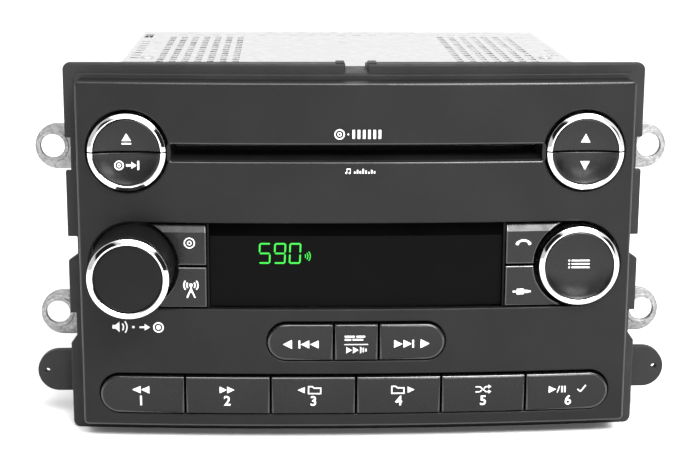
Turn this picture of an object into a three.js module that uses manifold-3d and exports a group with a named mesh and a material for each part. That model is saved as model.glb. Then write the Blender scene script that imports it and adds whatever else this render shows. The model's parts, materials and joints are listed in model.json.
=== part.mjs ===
// A double-height car radio with a disc slot, built as separate pieces.
// x runs to the right, y from the front to the back, z up, all in millimetres.
// The pieces are drawn about the fascia's middle, x = 0 and z = 0. y = 0 is the front line of its crown.
// The group is then placed so that the origin is the middle of the radio's footprint.

import * as THREE from 'three';
import { mergeVertices } from 'three/addons/utils/BufferGeometryUtils.js';
import Module from 'manifold-3d';

const wasm = await Module();
wasm.setup();

// ---------------------------------------------------------------- driving dimensions
const RUNNING_GAP = 0.35;         // between a button and its opening, or its neighbour
const FIT_GAP = 0.3;              // between fixed pieces that meet
const KEY_TRAVEL = 1.2;           // how far a button pushes in
const KEY_STEM = 2.5;             // how far a button reaches behind the fascia's sides

const FASCIA = { width: 188, height: 119.2, crown: 4.33, cornerR: 1.4, wall: 2.4, depth: 10.7 };
const FRAME = { lipX: 5.2, lipZ: 5.0, cornerR: 2.4, plate: 2.7, collar: 11, collarWall: 3, collarInset: 1.5 };
const TAB = { reach: 13.5, height: 15, dropZ: 17.5, thick: 3, hole: 1.7, holeInset: 3.4 };
const TOP_NOTCH = { width: 7.5, depth: 2.8, post: 3, postRise: 0.5, postGap: 0.2, postSink: 1, postBack: 2 };
const SIDE_NOTCHES = [            // distance of each notch's lower end above the middle, its height and depth
  { z: 27.5, height: 11.5, depth: 1.9, slope: 0 },
  { z: -1.8, height: 6.3, depth: 3.3, slope: 2.4 },
  { z: -31, height: 8.2, depth: 2.1, slope: 3 },
];

const ROUND = {
  edgeX: 17.04, edgeZ: 23.22, recess: 28.1, ringGap: 1, ringWidth: 1.9, proud: 2.2, split: 0.5,
};
const CONTROL = { edgeX: 18.1, z: -2.82, recess: 30 };
const KNOB = { collarGap: 0.7, ringGap: 1.5, ringWidth: 1.95, proud: 19.66, ringDepth: 4, cover: 6, sink: 1.5,
  shaft: 6, clearance: 0.07 };
const MENU = { ringGap: 1.65, ringWidth: 1.8, proud: 4, ringDepth: 5 };
const RING_CHAMFER = 0.7;
const RING_PROUD = 0.3;            // how far a half ring stands in front of its half button
const CAP_SINK = 0.4;              // how far a cap lies behind the front of its ring
const SLOT = { width: 126, height: 5.8, drop: 0.3, cornerR: 1, side: 1 };
const LENS = { halfWidth: 49.9, recess: 3, thick: 2, edge: 1 };
const SIDE_KEYS = { inner: 51, splitZ: -2.9, gap: 0.9, proud: -0.4, above: 0.7, below: 0.6 };
const SEEK = { z: -29.45, width: 60.8, height: 12.7, middle: 15.4, proud: 0.6, gap: 0.6 };
const PRESETS = { edgeX: 5.7, edgeZ: 11.2, height: 13.1, count: 6, proud: 0.9, gap: 0.6 };

const CASE = { insetX: 14.2, top: 7.6, bottom: 4.6, depth: 172, behindFrame: 1.5, sheet: 1 };
const FOOT = { radius: 7, insetX: 20, insetY: 25 };
const COVER = { sheet: 0.8, skirt: 12 };
const EAR = { reach: 13.3, height: 16.2, thick: 2, cornerR: 8, hole: 8.5, holeInset: 6.1, y: 38 };
const EAR_HEIGHTS = [32.3, -28.6];
const BRACKET = { sheet: 1.5, length: 60 };

const FELT = { thick: 1.5, overlap: 3, slit: 1.8 };
const BOARD = { thick: 1.6, edge: 3, margin: 1, standoff: 6 };
const ENCODER = 14;
const MAT = { thick: 1.4 };
const DECK = { halfWidth: 70, length: 130, below: 17, above: 14, sheet: 1, start: 12 };
const ROLLER = { radius: 4, shaft: 1.5, clearance: 0.06, drop: 0.8, halfWidth: 62, overhang: 2, back: 8 };
const TURNTABLE = { radius: 15, hub: 7.2, drop: 3, hubRise: 2, y: 98 };
const MOTOR = { radius: 11, height: 8 };
const SLED = { width: 30, length: 22, height: 6, start: 6, rise: 2.5, wing: 3, lensR: 3.5, lens: 1.5 };
const RAIL = { radius: 1.5, clearance: 0.06, spacing: 42, height: 5, start: 24, end: 12, block: 4, side: 5 };
const CLAMP = { width: 18, thick: 1.5, pin: 1.5, pinInset: 6, above: 5 };
const SINK = { halfWidth: 32, x: -44, height: 92, base: 3, fins: 9, fin: 1.6, depth: 12 };
const SOCKET_PROUD = 2;           // how far the sockets and fuse stand out of the rear panel
const CONNECTOR = { x: 30, z: -25, width: 62, height: 22, wall: 1.6, depth: 14 };
const PIN = { perRow: 8, half: 0.5, length: 5, rowZ: 7, margin: 4 };
const AERIAL = { x: 66, z: 6, radius: 6.5, bore: 4.2, depth: 13, floor: 2 };
const FUSE = { x: 66, z: -25, width: 5, height: 16, depth: 9 };
const AMPLIFIER = { width: 28, height: 20, thick: 5, legs: 2 };
const CAPACITOR = { radius: 9, height: 26, fromBack: 30 };
const TUNER = { width: 28, depth: 45, below: 2 };
const SCREW = { headR: 2.7, head: 1.1, shankR: 1.4, shank: 5, hole: 1.6, seat: 0.02, fromFront: 75,
  fromSide: 9 };

// ---------------------------------------------------------------- places that follow from them
const fasciaX = FASCIA.width / 2;
const fasciaZ = FASCIA.height / 2;
const frameX = fasciaX + FRAME.lipX;
const frameZ = fasciaZ + FRAME.lipZ;
const crownAt = (x) => FASCIA.crown * (x / fasciaX) ** 2;
const frameFront = FASCIA.depth + FIT_GAP;               // on the crown's line
const frameBack = frameFront + crownAt(frameX) + FRAME.plate;
const roundX = fasciaX - ROUND.edgeX;
const roundZ = fasciaZ - ROUND.edgeZ;
const controlX = fasciaX - CONTROL.edgeX;
const presetZ = -fasciaZ + PRESETS.edgeZ;
const presetWidth = FASCIA.width - 2 * PRESETS.edgeX;
const slotZ = roundZ - SLOT.drop;

const keyBack = FASCIA.depth + KEY_STEM;                 // the flat back end of every button
const matY = keyBack + KEY_TRAVEL + RUNNING_GAP;
const boardY = matY + MAT.thick + FIT_GAP;
const caseFront = Math.max(boardY + BOARD.thick, frameBack) + CASE.behindFrame;
const caseRear = caseFront + CASE.depth;
const caseX = frameX - CASE.insetX;                      // outside of the chassis walls
const caseTop = frameZ - CASE.top;                       // top of the cover
const caseBottom = -frameZ + CASE.bottom;
const wallTop = caseTop - COVER.sheet - FIT_GAP;
const coverX = caseX + FIT_GAP + COVER.sheet;
const insideX = caseX - CASE.sheet;

const deckFront = caseFront + DECK.start;
const deckBottom = slotZ - DECK.below;
const deckTop = slotZ + DECK.above;
const turntableY = caseFront + TURNTABLE.y;
const turntableZ = slotZ - TURNTABLE.drop;
const rollerY = deckFront + ROLLER.back;
const rollerZ = slotZ - ROLLER.radius - ROLLER.drop;
const railBore = RAIL.radius + RAIL.clearance;
const sinkBack = caseRear + FIT_GAP + SINK.base + SINK.depth;
const knobFront = crownAt(controlX) - KNOB.proud;
const controlR = CONTROL.recess / 2;
const knobRingR = controlR - KNOB.ringGap;
const menuRingR = controlR - MENU.ringGap;
const roundRingR = ROUND.recess / 2 - ROUND.ringGap;
const displayHalfX = LENS.halfWidth - LENS.edge;
const displayHalfZ = controlR - RUNNING_GAP - LENS.edge;

// ---------------------------------------------------------------- solids
const SEGMENTS = 36;
const SMALL_SEGMENTS = 16;

// Local x, y and z of an outline map to these directions, so that it is extruded along the named axis.
const EXTRUDE_BASIS = {
  y: [new THREE.Vector3(1, 0, 0), new THREE.Vector3(0, 0, 1), new THREE.Vector3(0, -1, 0)],
  z: [new THREE.Vector3(1, 0, 0), new THREE.Vector3(0, 1, 0), new THREE.Vector3(0, 0, 1)],
};

function signedVolume(geometry) {
  const point = geometry.attributes.position;
  const index = geometry.index.array;
  const [a, b, c] = [new THREE.Vector3(), new THREE.Vector3(), new THREE.Vector3()];
  let volume = 0;
  for (let i = 0; i < index.length; i += 3) {
    a.fromBufferAttribute(point, index[i]);
    b.fromBufferAttribute(point, index[i + 1]);
    c.fromBufferAttribute(point, index[i + 2]);
    volume += a.dot(b.cross(c)) / 6;
  }
  return volume;
}

function toSolid(source) {
  const bare = source.clone();
  bare.deleteAttribute('normal');
  bare.deleteAttribute('uv');
  const geometry = mergeVertices(bare, 1e-5);
  const triVerts = Uint32Array.from(geometry.index.array);
  if (signedVolume(geometry) < 0) {
    triVerts.reverse();
  }
  const vertProperties = Float32Array.from(geometry.attributes.position.array);
  return new wasm.Manifold(new wasm.Mesh({ numProp: 3, vertProperties, triVerts }));
}

function toGeometry(solid) {
  const mesh = solid.getMesh();
  const geometry = new THREE.BufferGeometry();
  const points = new Float32Array(mesh.numVert * 3);
  for (let i = 0; i < mesh.numVert; i += 1) {
    for (let axis = 0; axis < 3; axis += 1) {
      points[3 * i + axis] = mesh.vertProperties[mesh.numProp * i + axis];
    }
  }
  geometry.setAttribute('position', new THREE.BufferAttribute(points, 3));
  geometry.setIndex(new THREE.BufferAttribute(Uint32Array.from(mesh.triVerts), 1));
  geometry.computeVertexNormals();
  return geometry;
}

function box(x0, x1, y0, y1, z0, z1) {
  const geometry = new THREE.BoxGeometry(x1 - x0, y1 - y0, z1 - z0);
  geometry.translate((x0 + x1) / 2, (y0 + y1) / 2, (z0 + z1) / 2);
  return toSolid(geometry);
}

function prism(shape, axis, from, to, curveSegments = 10) {
  const geometry = new THREE.ExtrudeGeometry(shape, { depth: to - from, bevelEnabled: false, curveSegments });
  const basis = EXTRUDE_BASIS[axis];
  geometry.applyMatrix4(new THREE.Matrix4().makeBasis(...basis));
  const start = basis[2].clone().multiplyScalar(axis === 'y' ? -to : from);
  geometry.translate(start.x, start.y, start.z);
  return toSolid(geometry);
}

function outline(points) {
  return new THREE.Shape(points.map(([x, y]) => new THREE.Vector2(x, y)));
}

function roundedRect(x0, x1, y0, y1, r) {
  const shape = new THREE.Shape();
  shape.moveTo(x0 + r, y0);
  shape.lineTo(x1 - r, y0);
  shape.absarc(x1 - r, y0 + r, r, -Math.PI / 2, 0, false);
  shape.lineTo(x1, y1 - r);
  shape.absarc(x1 - r, y1 - r, r, 0, Math.PI / 2, false);
  shape.lineTo(x0 + r, y1);
  shape.absarc(x0 + r, y1 - r, r, Math.PI / 2, Math.PI, false);
  shape.lineTo(x0, y0 + r);
  shape.absarc(x0 + r, y0 + r, r, Math.PI, 1.5 * Math.PI, false);
  return shape;
}

function stadium(x, z, width, height) {
  return roundedRect(x - width / 2, x + width / 2, z - height / 2, z + height / 2, height / 2 - 0.01);
}

// A solid of revolution about a line along y; the profile is [radius, y] points and closes on itself.
function turnedY(profile, x, z, segments = SEGMENTS) {
  const points = [...profile, profile[0]].map(([r, y]) => new THREE.Vector2(r, y));
  const geometry = new THREE.LatheGeometry(points, segments);
  geometry.translate(x, 0, z);
  return toSolid(geometry);
}

function rodY(radius, x, z, y0, y1, segments = SEGMENTS) {
  const geometry = new THREE.CylinderGeometry(radius, radius, y1 - y0, segments);
  geometry.translate(x, (y0 + y1) / 2, z);
  return toSolid(geometry);
}

function rodX(radius, y, z, x0, x1, segments = SMALL_SEGMENTS) {
  const geometry = new THREE.CylinderGeometry(radius, radius, x1 - x0, segments);
  geometry.rotateZ(Math.PI / 2);
  geometry.translate((x0 + x1) / 2, y, z);
  return toSolid(geometry);
}

function rodZ(radius, x, y, z0, z1, segments = SEGMENTS) {
  const geometry = new THREE.CylinderGeometry(radius, radius, z1 - z0, segments);
  geometry.rotateX(Math.PI / 2);
  geometry.translate(x, y, (z0 + z1) / 2);
  return toSolid(geometry);
}

// Everything behind the crowned front surface moved forward by "proud", back to the plane y = back.
const CROWN_STEPS = 16;
function behindCrown(proud, back) {
  const halfWidth = frameX + 2;
  const reachZ = frameZ + 5;
  const points = [[halfWidth, back], [-halfWidth, back]];
  for (let i = 0; i <= CROWN_STEPS; i += 1) {
    const x = -halfWidth + (2 * halfWidth * i) / CROWN_STEPS;
    points.push([x, crownAt(x) - proud]);
  }
  return prism(outline(points), 'z', -reachZ, reachZ);
}

const group = new THREE.Group();
const MATERIALS = {
  blackPlastic: { color: 0x303030, roughness: 0.55, metalness: 0 },
  keyPlastic: { color: 0x2a2a2a, roughness: 0.5, metalness: 0 },
  chrome: { color: 0xe6e6e6, roughness: 0.08, metalness: 1 },
  smokedLens: { color: 0x141414, roughness: 0.1, metalness: 0 },
  galvanised: { color: 0xb4b6b6, roughness: 0.35, metalness: 1 },
  steel: { color: 0xc8caca, roughness: 0.3, metalness: 1 },
  aluminium: { color: 0xb8babd, roughness: 0.4, metalness: 1 },
  board: { color: 0x1f5a35, roughness: 0.5, metalness: 0 },
  rubber: { color: 0x3a3a3a, roughness: 0.9, metalness: 0 },
  felt: { color: 0x111111, roughness: 1, metalness: 0 },
  epoxy: { color: 0x1a1a1a, roughness: 0.45, metalness: 0 },
  capSleeve: { color: 0x20242c, roughness: 0.35, metalness: 0 },
  fuseTint: { color: 0xb03020, roughness: 0.3, metalness: 0 },
  displayGlass: { color: 0x203028, roughness: 0.2, metalness: 0 },
};
const materialOf = Object.fromEntries(
  Object.entries(MATERIALS).map(([name, values]) => [name, new THREE.MeshStandardMaterial(values)]),
);

function add(name, solid, material) {
  const mesh = new THREE.Mesh(toGeometry(solid), materialOf[material]);
  mesh.name = name;
  group.add(mesh);
}

// ---------------------------------------------------------------- fascia and frame
const FAR = 60;                    // past every front piece, for cutting through

function frontFascia() {
  const outer = prism(roundedRect(-fasciaX, fasciaX, -fasciaZ, fasciaZ, FASCIA.cornerR), 'y', -FAR, FAR);
  const inX = fasciaX - FASCIA.wall;
  const inZ = fasciaZ - FASCIA.wall;
  const inner = box(-inX, inX, -FAR, FAR, -inZ, inZ);
  const slab = behindCrown(0, FAR).subtract(behindCrown(-FASCIA.depth, FAR + 1));
  const hollow = behindCrown(-FASCIA.wall, FAR).intersect(inner);
  let shell = slab.intersect(outer).subtract(hollow);
  const gap = RUNNING_GAP;
  const [slotX, halfSlot] = [SLOT.width / 2, SLOT.height / 2];
  const slotShape = roundedRect(-slotX, slotX, slotZ - halfSlot, slotZ + halfSlot, SLOT.cornerR);
  const cuts = [
    prism(stadium(0, CONTROL.z, 2 * controlX + CONTROL.recess, CONTROL.recess), 'y', -FAR, FAR),
    prism(slotShape, 'y', -FAR, FAR),
    rodY(ROUND.recess / 2, -roundX, roundZ, -FAR, FAR),
    rodY(ROUND.recess / 2, roundX, roundZ, -FAR, FAR),
    prism(stadium(0, SEEK.z, SEEK.width + 2 * gap, SEEK.height + 2 * gap), 'y', -FAR, FAR),
    prism(stadium(0, presetZ, presetWidth + 2 * gap, PRESETS.height + 2 * gap), 'y', -FAR, FAR),
  ];
  for (const cut of cuts) {
    shell = shell.subtract(cut);
  }
  add('front_fascia', shell, 'blackPlastic');
}

function mountingFrame() {
  const plateShape = prism(roundedRect(-frameX, frameX, -frameZ, frameZ, FRAME.cornerR), 'y', -FAR, FAR);
  const inX = fasciaX - FASCIA.wall;
  const inZ = fasciaZ - FASCIA.wall;
  let frame = behindCrown(-frameFront, frameBack).intersect(plateShape);
  const collarX = inX + FRAME.collarWall;
  const collarZ = frameZ - FRAME.collarInset;
  const collarBack = frameBack + FRAME.collar;
  frame = frame.add(box(-collarX, collarX, frameBack - 1, collarBack, -collarZ, collarZ));
  const tabZ = -frameZ + TAB.dropZ;
  const tabX = frameX + TAB.reach;
  frame = frame.add(prism(stadium(0, tabZ, 2 * tabX, TAB.height), 'y', collarBack - TAB.thick, collarBack));
  for (const side of [-1, 1]) {
    const holeX = side * (tabX - TAB.holeInset);
    frame = frame.subtract(rodY(TAB.hole / 2, holeX, tabZ, 0, FAR, SMALL_SEGMENTS));
    for (const notch of SIDE_NOTCHES) {
      const cutX = frameX - notch.depth;
      const shape = outline([
        [side * cutX, notch.z], [side * cutX, notch.z + notch.height],
        [side * (frameX + 2), notch.z + notch.height], [side * (frameX + 2), notch.z - notch.slope],
        [side * frameX, notch.z - notch.slope],
      ]);
      frame = frame.subtract(prism(shape, 'y', 0, frameBack + 1));
    }
  }
  const half = TOP_NOTCH.width / 2;
  for (const side of [-1, 1]) {
    const nearest = half + TOP_NOTCH.postGap;
    const [near, far] = [side * nearest, side * (nearest + TOP_NOTCH.post)];
    const postFront = frameFront + TOP_NOTCH.postBack;
    frame = frame.add(box(Math.min(near, far), Math.max(near, far), postFront, frameBack,
      frameZ - TOP_NOTCH.postSink, frameZ + TOP_NOTCH.postRise));
  }
  frame = frame.subtract(box(-half, half, 0, FAR, frameZ - TOP_NOTCH.depth, frameZ + 2));
  frame = frame.subtract(box(-inX, inX, 0, FAR, -inZ, inZ));
  const roomZ = collarZ - FRAME.collarWall / 2;
  frame = frame.subtract(box(-inX, inX, frameBack, FAR, -roomZ, roomZ));
  add('mounting_frame', frame, 'blackPlastic');
}

// ---------------------------------------------------------------- buttons
// A chrome ring: a turned band with chamfered front corners.
function ringBand(innerR, outerR, front, back, x, z) {
  return turnedY([
    [innerR, back], [outerR, back], [outerR, front + RING_CHAMFER], [outerR - RING_CHAMFER, front],
    [innerR + RING_CHAMFER / 2, front], [innerR, front + RING_CHAMFER / 2],
  ], x, z);
}

// A half of a round button and its half ring; up is 1 for the upper half and -1 for the lower one.
function halfButton(capName, ringName, side, up) {
  const x = side * roundX;
  const front = crownAt(roundX) - ROUND.proud;
  const nearZ = roundZ + (up * ROUND.split) / 2;
  const farZ = nearZ + up * ROUND.recess;
  const [lowZ, highZ] = [Math.min(nearZ, farZ), Math.max(nearZ, farZ)];
  const half = box(x - ROUND.recess, x + ROUND.recess, -FAR, FAR, lowZ, highZ);
  const capR = roundRingR - ROUND.ringWidth;
  const stem = turnedY([[0, front], [capR, front], [capR, keyBack], [0, keyBack]], x, roundZ);
  add(capName, stem.intersect(half), 'keyPlastic');
  const ring = ringBand(capR + FIT_GAP / 2, roundRingR, front - RING_PROUD, FASCIA.depth, x, roundZ);
  add(ringName, ring.intersect(half), 'chrome');
}

function menuButton() {
  const front = crownAt(controlX) - MENU.proud;
  const back = front + MENU.ringDepth;
  const capR = menuRingR - MENU.ringWidth;
  const ringSeat = back + FIT_GAP;
  add('menu_button', turnedY([
    [0, front + CAP_SINK], [capR, front + CAP_SINK], [capR, ringSeat],
    [menuRingR, ringSeat], [menuRingR, keyBack], [0, keyBack],
  ], controlX, CONTROL.z), 'keyPlastic');
  add('menu_ring', ringBand(capR + FIT_GAP / 2, menuRingR, front, back, controlX, CONTROL.z), 'chrome');
}

function volumeKnob() {
  const x = -controlX;
  const back = crownAt(controlX) + KNOB.sink;
  const capR = knobRingR - KNOB.ringWidth;
  const ringBack = knobFront + KNOB.ringDepth;
  const shoulder = ringBack + FIT_GAP;
  const boreEnd = knobFront + KNOB.cover;
  const boreR = KNOB.shaft / 2 + KNOB.clearance;
  const knob = turnedY([
    [0, knobFront + CAP_SINK], [capR, knobFront + CAP_SINK], [capR, shoulder], [knobRingR, shoulder],
    [controlR - KNOB.collarGap, back], [boreR, back], [boreR, boreEnd], [0, boreEnd],
  ], x, CONTROL.z);
  add('volume_knob', knob, 'keyPlastic');
  add('volume_ring', ringBand(capR + FIT_GAP / 2, knobRingR, knobFront, ringBack, x, CONTROL.z), 'chrome');
  add('volume_shaft', rodY(KNOB.shaft / 2, x, CONTROL.z, boreEnd + FIT_GAP, keyBack), 'steel');
  const half = ENCODER / 2;
  add('volume_encoder', box(x - half, x + half, matY, boardY - FIT_GAP, CONTROL.z - half, CONTROL.z + half),
    'epoxy');
}

function sideKeys() {
  const gap = RUNNING_GAP;
  const [top, bottom] = [CONTROL.z + controlR - SIDE_KEYS.above, CONTROL.z - controlR + SIDE_KEYS.below];
  const upper = [SIDE_KEYS.splitZ + SIDE_KEYS.gap / 2, top];
  const lower = [bottom, SIDE_KEYS.splitZ - SIDE_KEYS.gap / 2];
  const names = { '-1': ['button_disc', 'button_band'], 1: ['button_phone', 'button_aux'] };
  for (const side of [-1, 1]) {
    const inner = side * SIDE_KEYS.inner;
    const outer = side * controlX;
    const clear = rodY(controlR + gap, outer, CONTROL.z, -FAR, FAR);
    [upper, lower].forEach(([z0, z1], row) => {
      const block = box(Math.min(inner, outer), Math.max(inner, outer), -FAR, FAR, z0, z1);
      const solid = block.subtract(clear).intersect(behindCrown(SIDE_KEYS.proud, keyBack));
      add(names[side][row], solid, 'keyPlastic');
    });
  }
}

function rowShape(full, x0, x1, z, height) {
  const clip = box(x0, x1, -FAR, FAR, z - height, z + height);
  return prism(full, 'y', -FAR, FAR).intersect(clip);
}

function seekKeys() {
  const full = stadium(0, SEEK.z, SEEK.width, SEEK.height);
  const half = SEEK.middle / 2;
  const far = SEEK.width;
  const face = behindCrown(SEEK.proud, keyBack);
  const spans = {
    button_seek_down: [-far, -half - SEEK.gap / 2],
    button_scan: [-half + SEEK.gap / 2, half - SEEK.gap / 2],
    button_seek_up: [half + SEEK.gap / 2, far],
  };
  for (const [name, [x0, x1]] of Object.entries(spans)) {
    add(name, rowShape(full, x0, x1, SEEK.z, SEEK.height).intersect(face), 'keyPlastic');
  }
}

function presetKeys() {
  const full = stadium(0, presetZ, presetWidth, PRESETS.height);
  const pitch = presetWidth / PRESETS.count;
  const face = behindCrown(PRESETS.proud, keyBack);
  for (let i = 0; i < PRESETS.count; i += 1) {
    const x0 = -presetWidth / 2 + i * pitch + PRESETS.gap / 2;
    const x1 = x0 + pitch - PRESETS.gap;
    add(`preset_${i + 1}`, rowShape(full, x0, x1, presetZ, PRESETS.height).intersect(face), 'keyPlastic');
  }
}

// ---------------------------------------------------------------- display and front boards
function displayStack() {
  const reach = controlR - RUNNING_GAP;
  const lensBack = LENS.recess + LENS.thick;
  const lens = behindCrown(-LENS.recess, FAR).subtract(behindCrown(-lensBack, FAR + 1));
  const frame = box(-LENS.halfWidth, LENS.halfWidth, -FAR, FAR, CONTROL.z - reach, CONTROL.z + reach);
  add('display_lens', lens.intersect(frame), 'smokedLens');
  const front = lensBack + crownAt(LENS.halfWidth) + FIT_GAP;
  add('display_module', box(-displayHalfX, displayHalfX, front, boardY - FIT_GAP,
    CONTROL.z - displayHalfZ, CONTROL.z + displayHalfZ), 'displayGlass');
}

// The way that a disc takes from the slot into the case.
function discPath() {
  const x = SLOT.width / 2 + SLOT.side;
  return box(-x, x, 0, FAR, slotZ - SLOT.height, slotZ + SLOT.height);
}

// A pocket for a part that stands on the front board, through the keypad.
function boardPocket(x, halfX, halfZ) {
  const [reachX, reachZ] = [halfX + FIT_GAP, halfZ + FIT_GAP];
  return box(x - reachX, x + reachX, 0, boardY - FIT_GAP / 2, CONTROL.z - reachZ, CONTROL.z + reachZ);
}

function frontBoards() {
  const x = fasciaX - FASCIA.wall - BOARD.margin;
  const z = fasciaZ - FASCIA.wall - BOARD.margin;
  const mat = box(-x, x, matY, matY + MAT.thick, -z, z)
    .subtract(discPath())
    .subtract(boardPocket(0, displayHalfX, displayHalfZ))
    .subtract(boardPocket(-controlX, ENCODER / 2, ENCODER / 2));
  add('keypad_mat', mat, 'rubber');
  add('front_board', box(-x, x, boardY, boardY + BOARD.thick, -z, z).subtract(discPath()), 'board');
}

// ---------------------------------------------------------------- case
function chassis() {
  const sheet = CASE.sheet;
  let body = box(-caseX, caseX, caseFront, caseRear, caseBottom, caseBottom + sheet);
  body = body.add(box(-caseX, caseX, caseFront, caseFront + sheet, caseBottom, wallTop).subtract(discPath()));
  for (const side of [-1, 1]) {
    const [a, b] = [side * insideX, side * caseX];
    body = body.add(box(Math.min(a, b), Math.max(a, b), caseFront, caseRear, caseBottom, wallTop));
    for (const y of [caseFront + FOOT.insetY, caseRear - FOOT.insetY]) {
      const x = side * (caseX - FOOT.insetX);
      body = body.add(rodZ(FOOT.radius, x, y, -frameZ, caseBottom + sheet / 2, SMALL_SEGMENTS));
    }
  }
  add('chassis', body, 'galvanised');
}

function topCover() {
  const front = caseFront + FIT_GAP;
  let cover = box(-coverX, coverX, front, caseRear, caseTop - COVER.sheet, caseTop);
  for (const side of [-1, 1]) {
    const [a, b] = [side * (coverX - COVER.sheet), side * coverX];
    cover = cover.add(box(Math.min(a, b), Math.max(a, b), front, caseRear, caseTop - COVER.skirt, caseTop));
    const [x, y] = [side * (coverX - SCREW.fromSide), front + SCREW.fromFront];
    cover = cover.subtract(rodZ(SCREW.hole, x, y, caseTop - SCREW.shank, caseTop + 1, SMALL_SEGMENTS));
  }
  add('top_cover', cover, 'steel');
}

function coverScrews() {
  for (const [side, name] of [[-1, 'cover_screw_left'], [1, 'cover_screw_right']]) {
    const [x, y] = [side * (coverX - SCREW.fromSide), caseFront + FIT_GAP + SCREW.fromFront];
    const under = caseTop + SCREW.seat;
    const head = rodZ(SCREW.headR, x, y, under, under + SCREW.head, SMALL_SEGMENTS);
    const shank = rodZ(SCREW.shankR, x, y, under - SCREW.shank, under + SCREW.head / 2, SMALL_SEGMENTS);
    add(name, head.add(shank), 'galvanised');
  }
}

function rearPanel() {
  const sheet = CASE.sheet;
  const x = insideX - FIT_GAP;
  const y1 = caseRear;
  const y0 = y1 - sheet;
  let panel = box(-x, x, y0, y1, caseBottom + sheet + FIT_GAP, wallTop);
  const gap = FIT_GAP;
  const { width, height } = CONNECTOR;
  panel = panel.subtract(box(CONNECTOR.x - width / 2 - gap, CONNECTOR.x + width / 2 + gap, y0 - 1, y1 + 1,
    CONNECTOR.z - height / 2 - gap, CONNECTOR.z + height / 2 + gap));
  panel = panel.subtract(rodY(AERIAL.radius + gap, AERIAL.x, AERIAL.z, y0 - 1, y1 + 1));
  panel = panel.subtract(box(FUSE.x - FUSE.width / 2 - gap, FUSE.x + FUSE.width / 2 + gap, y0 - 1, y1 + 1,
    FUSE.z - FUSE.height / 2 - gap, FUSE.z + FUSE.height / 2 + gap));
  add('rear_panel', panel, 'galvanised');
}

function heatSink() {
  const { x, halfWidth, base, fins, fin, depth, height } = SINK;
  const y0 = caseRear + FIT_GAP;
  let sink = box(x - halfWidth, x + halfWidth, y0, y0 + base, -height / 2, height / 2);
  for (let i = 0; i < fins; i += 1) {
    const left = x - halfWidth + (i * (2 * halfWidth - fin)) / (fins - 1);
    sink = sink.add(box(left, left + fin, y0 + base / 2, y0 + base + depth, -height / 2, height / 2));
  }
  add('heat_sink', sink, 'aluminium');
}

// A side bracket: a strip along the chassis wall with two ears that face forward.
function sideBracket(side) {
  const wallX = caseX + FIT_GAP;
  const outX = wallX + BRACKET.sheet;
  const tipX = frameX + EAR.reach;
  const yFront = Math.max(EAR.y, frameBack + FRAME.collar + 2 * FIT_GAP);
  const top = EAR_HEIGHTS[0] + EAR.height / 2;
  const bottom = EAR_HEIGHTS[1] - EAR.height / 2;
  const strip = (a, b, y0, y1, z0, z1) => box(Math.min(a, b), Math.max(a, b), y0, y1, z0, z1);
  let bracket = strip(side * wallX, side * outX, yFront, yFront + BRACKET.length, bottom, top);
  for (const z of EAR_HEIGHTS) {
    const r = Math.min(EAR.cornerR, EAR.height / 2 - 0.01);
    const ear = roundedRect(-tipX, tipX, z - EAR.height / 2, z + EAR.height / 2, r);
    const blank = prism(ear, 'y', yFront, yFront + EAR.thick)
      .intersect(strip(side * wallX, side * (tipX + 1), 0, FAR + 20, z - EAR.height, z + EAR.height));
    bracket = bracket.add(blank);
    bracket = bracket.subtract(rodY(EAR.hole / 2, side * (tipX - EAR.holeInset), z, 0, yFront + 10, 24));
  }
  add(side < 0 ? 'bracket_left' : 'bracket_right', bracket, 'galvanised');
}

// ---------------------------------------------------------------- electronics
const mainBoardZ = caseBottom + CASE.sheet + BOARD.standoff;

function mainBoard() {
  const x = insideX - BOARD.edge;
  const y0 = caseFront + CASE.sheet + BOARD.edge;
  const y1 = caseRear - CASE.sheet - BOARD.edge;
  add('main_board', box(-x, x, y0, y1, mainBoardZ, mainBoardZ + BOARD.thick), 'board');
}

function boardParts() {
  const z = mainBoardZ + BOARD.thick + FIT_GAP;
  const back = caseRear - CASE.sheet - FIT_GAP;
  const chipX = AMPLIFIER.width / 2;
  add('amplifier_chip', box(SINK.x - chipX, SINK.x + chipX, back - AMPLIFIER.thick, back,
    z + AMPLIFIER.legs, z + AMPLIFIER.legs + AMPLIFIER.height), 'epoxy');
  const capacitorY = back - CAPACITOR.fromBack;
  const capacitor = rodZ(CAPACITOR.radius, SINK.x, capacitorY, z, z + CAPACITOR.height, 24);
  add('filter_capacitor', capacitor, 'capSleeve');
  const tunerBack = back - AERIAL.depth - FIT_GAP;
  const tunerX = TUNER.width / 2;
  add('tuner_module', box(AERIAL.x - tunerX, AERIAL.x + tunerX, tunerBack - TUNER.depth, tunerBack,
    z, deckBottom - TUNER.below), 'steel');
}

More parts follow.
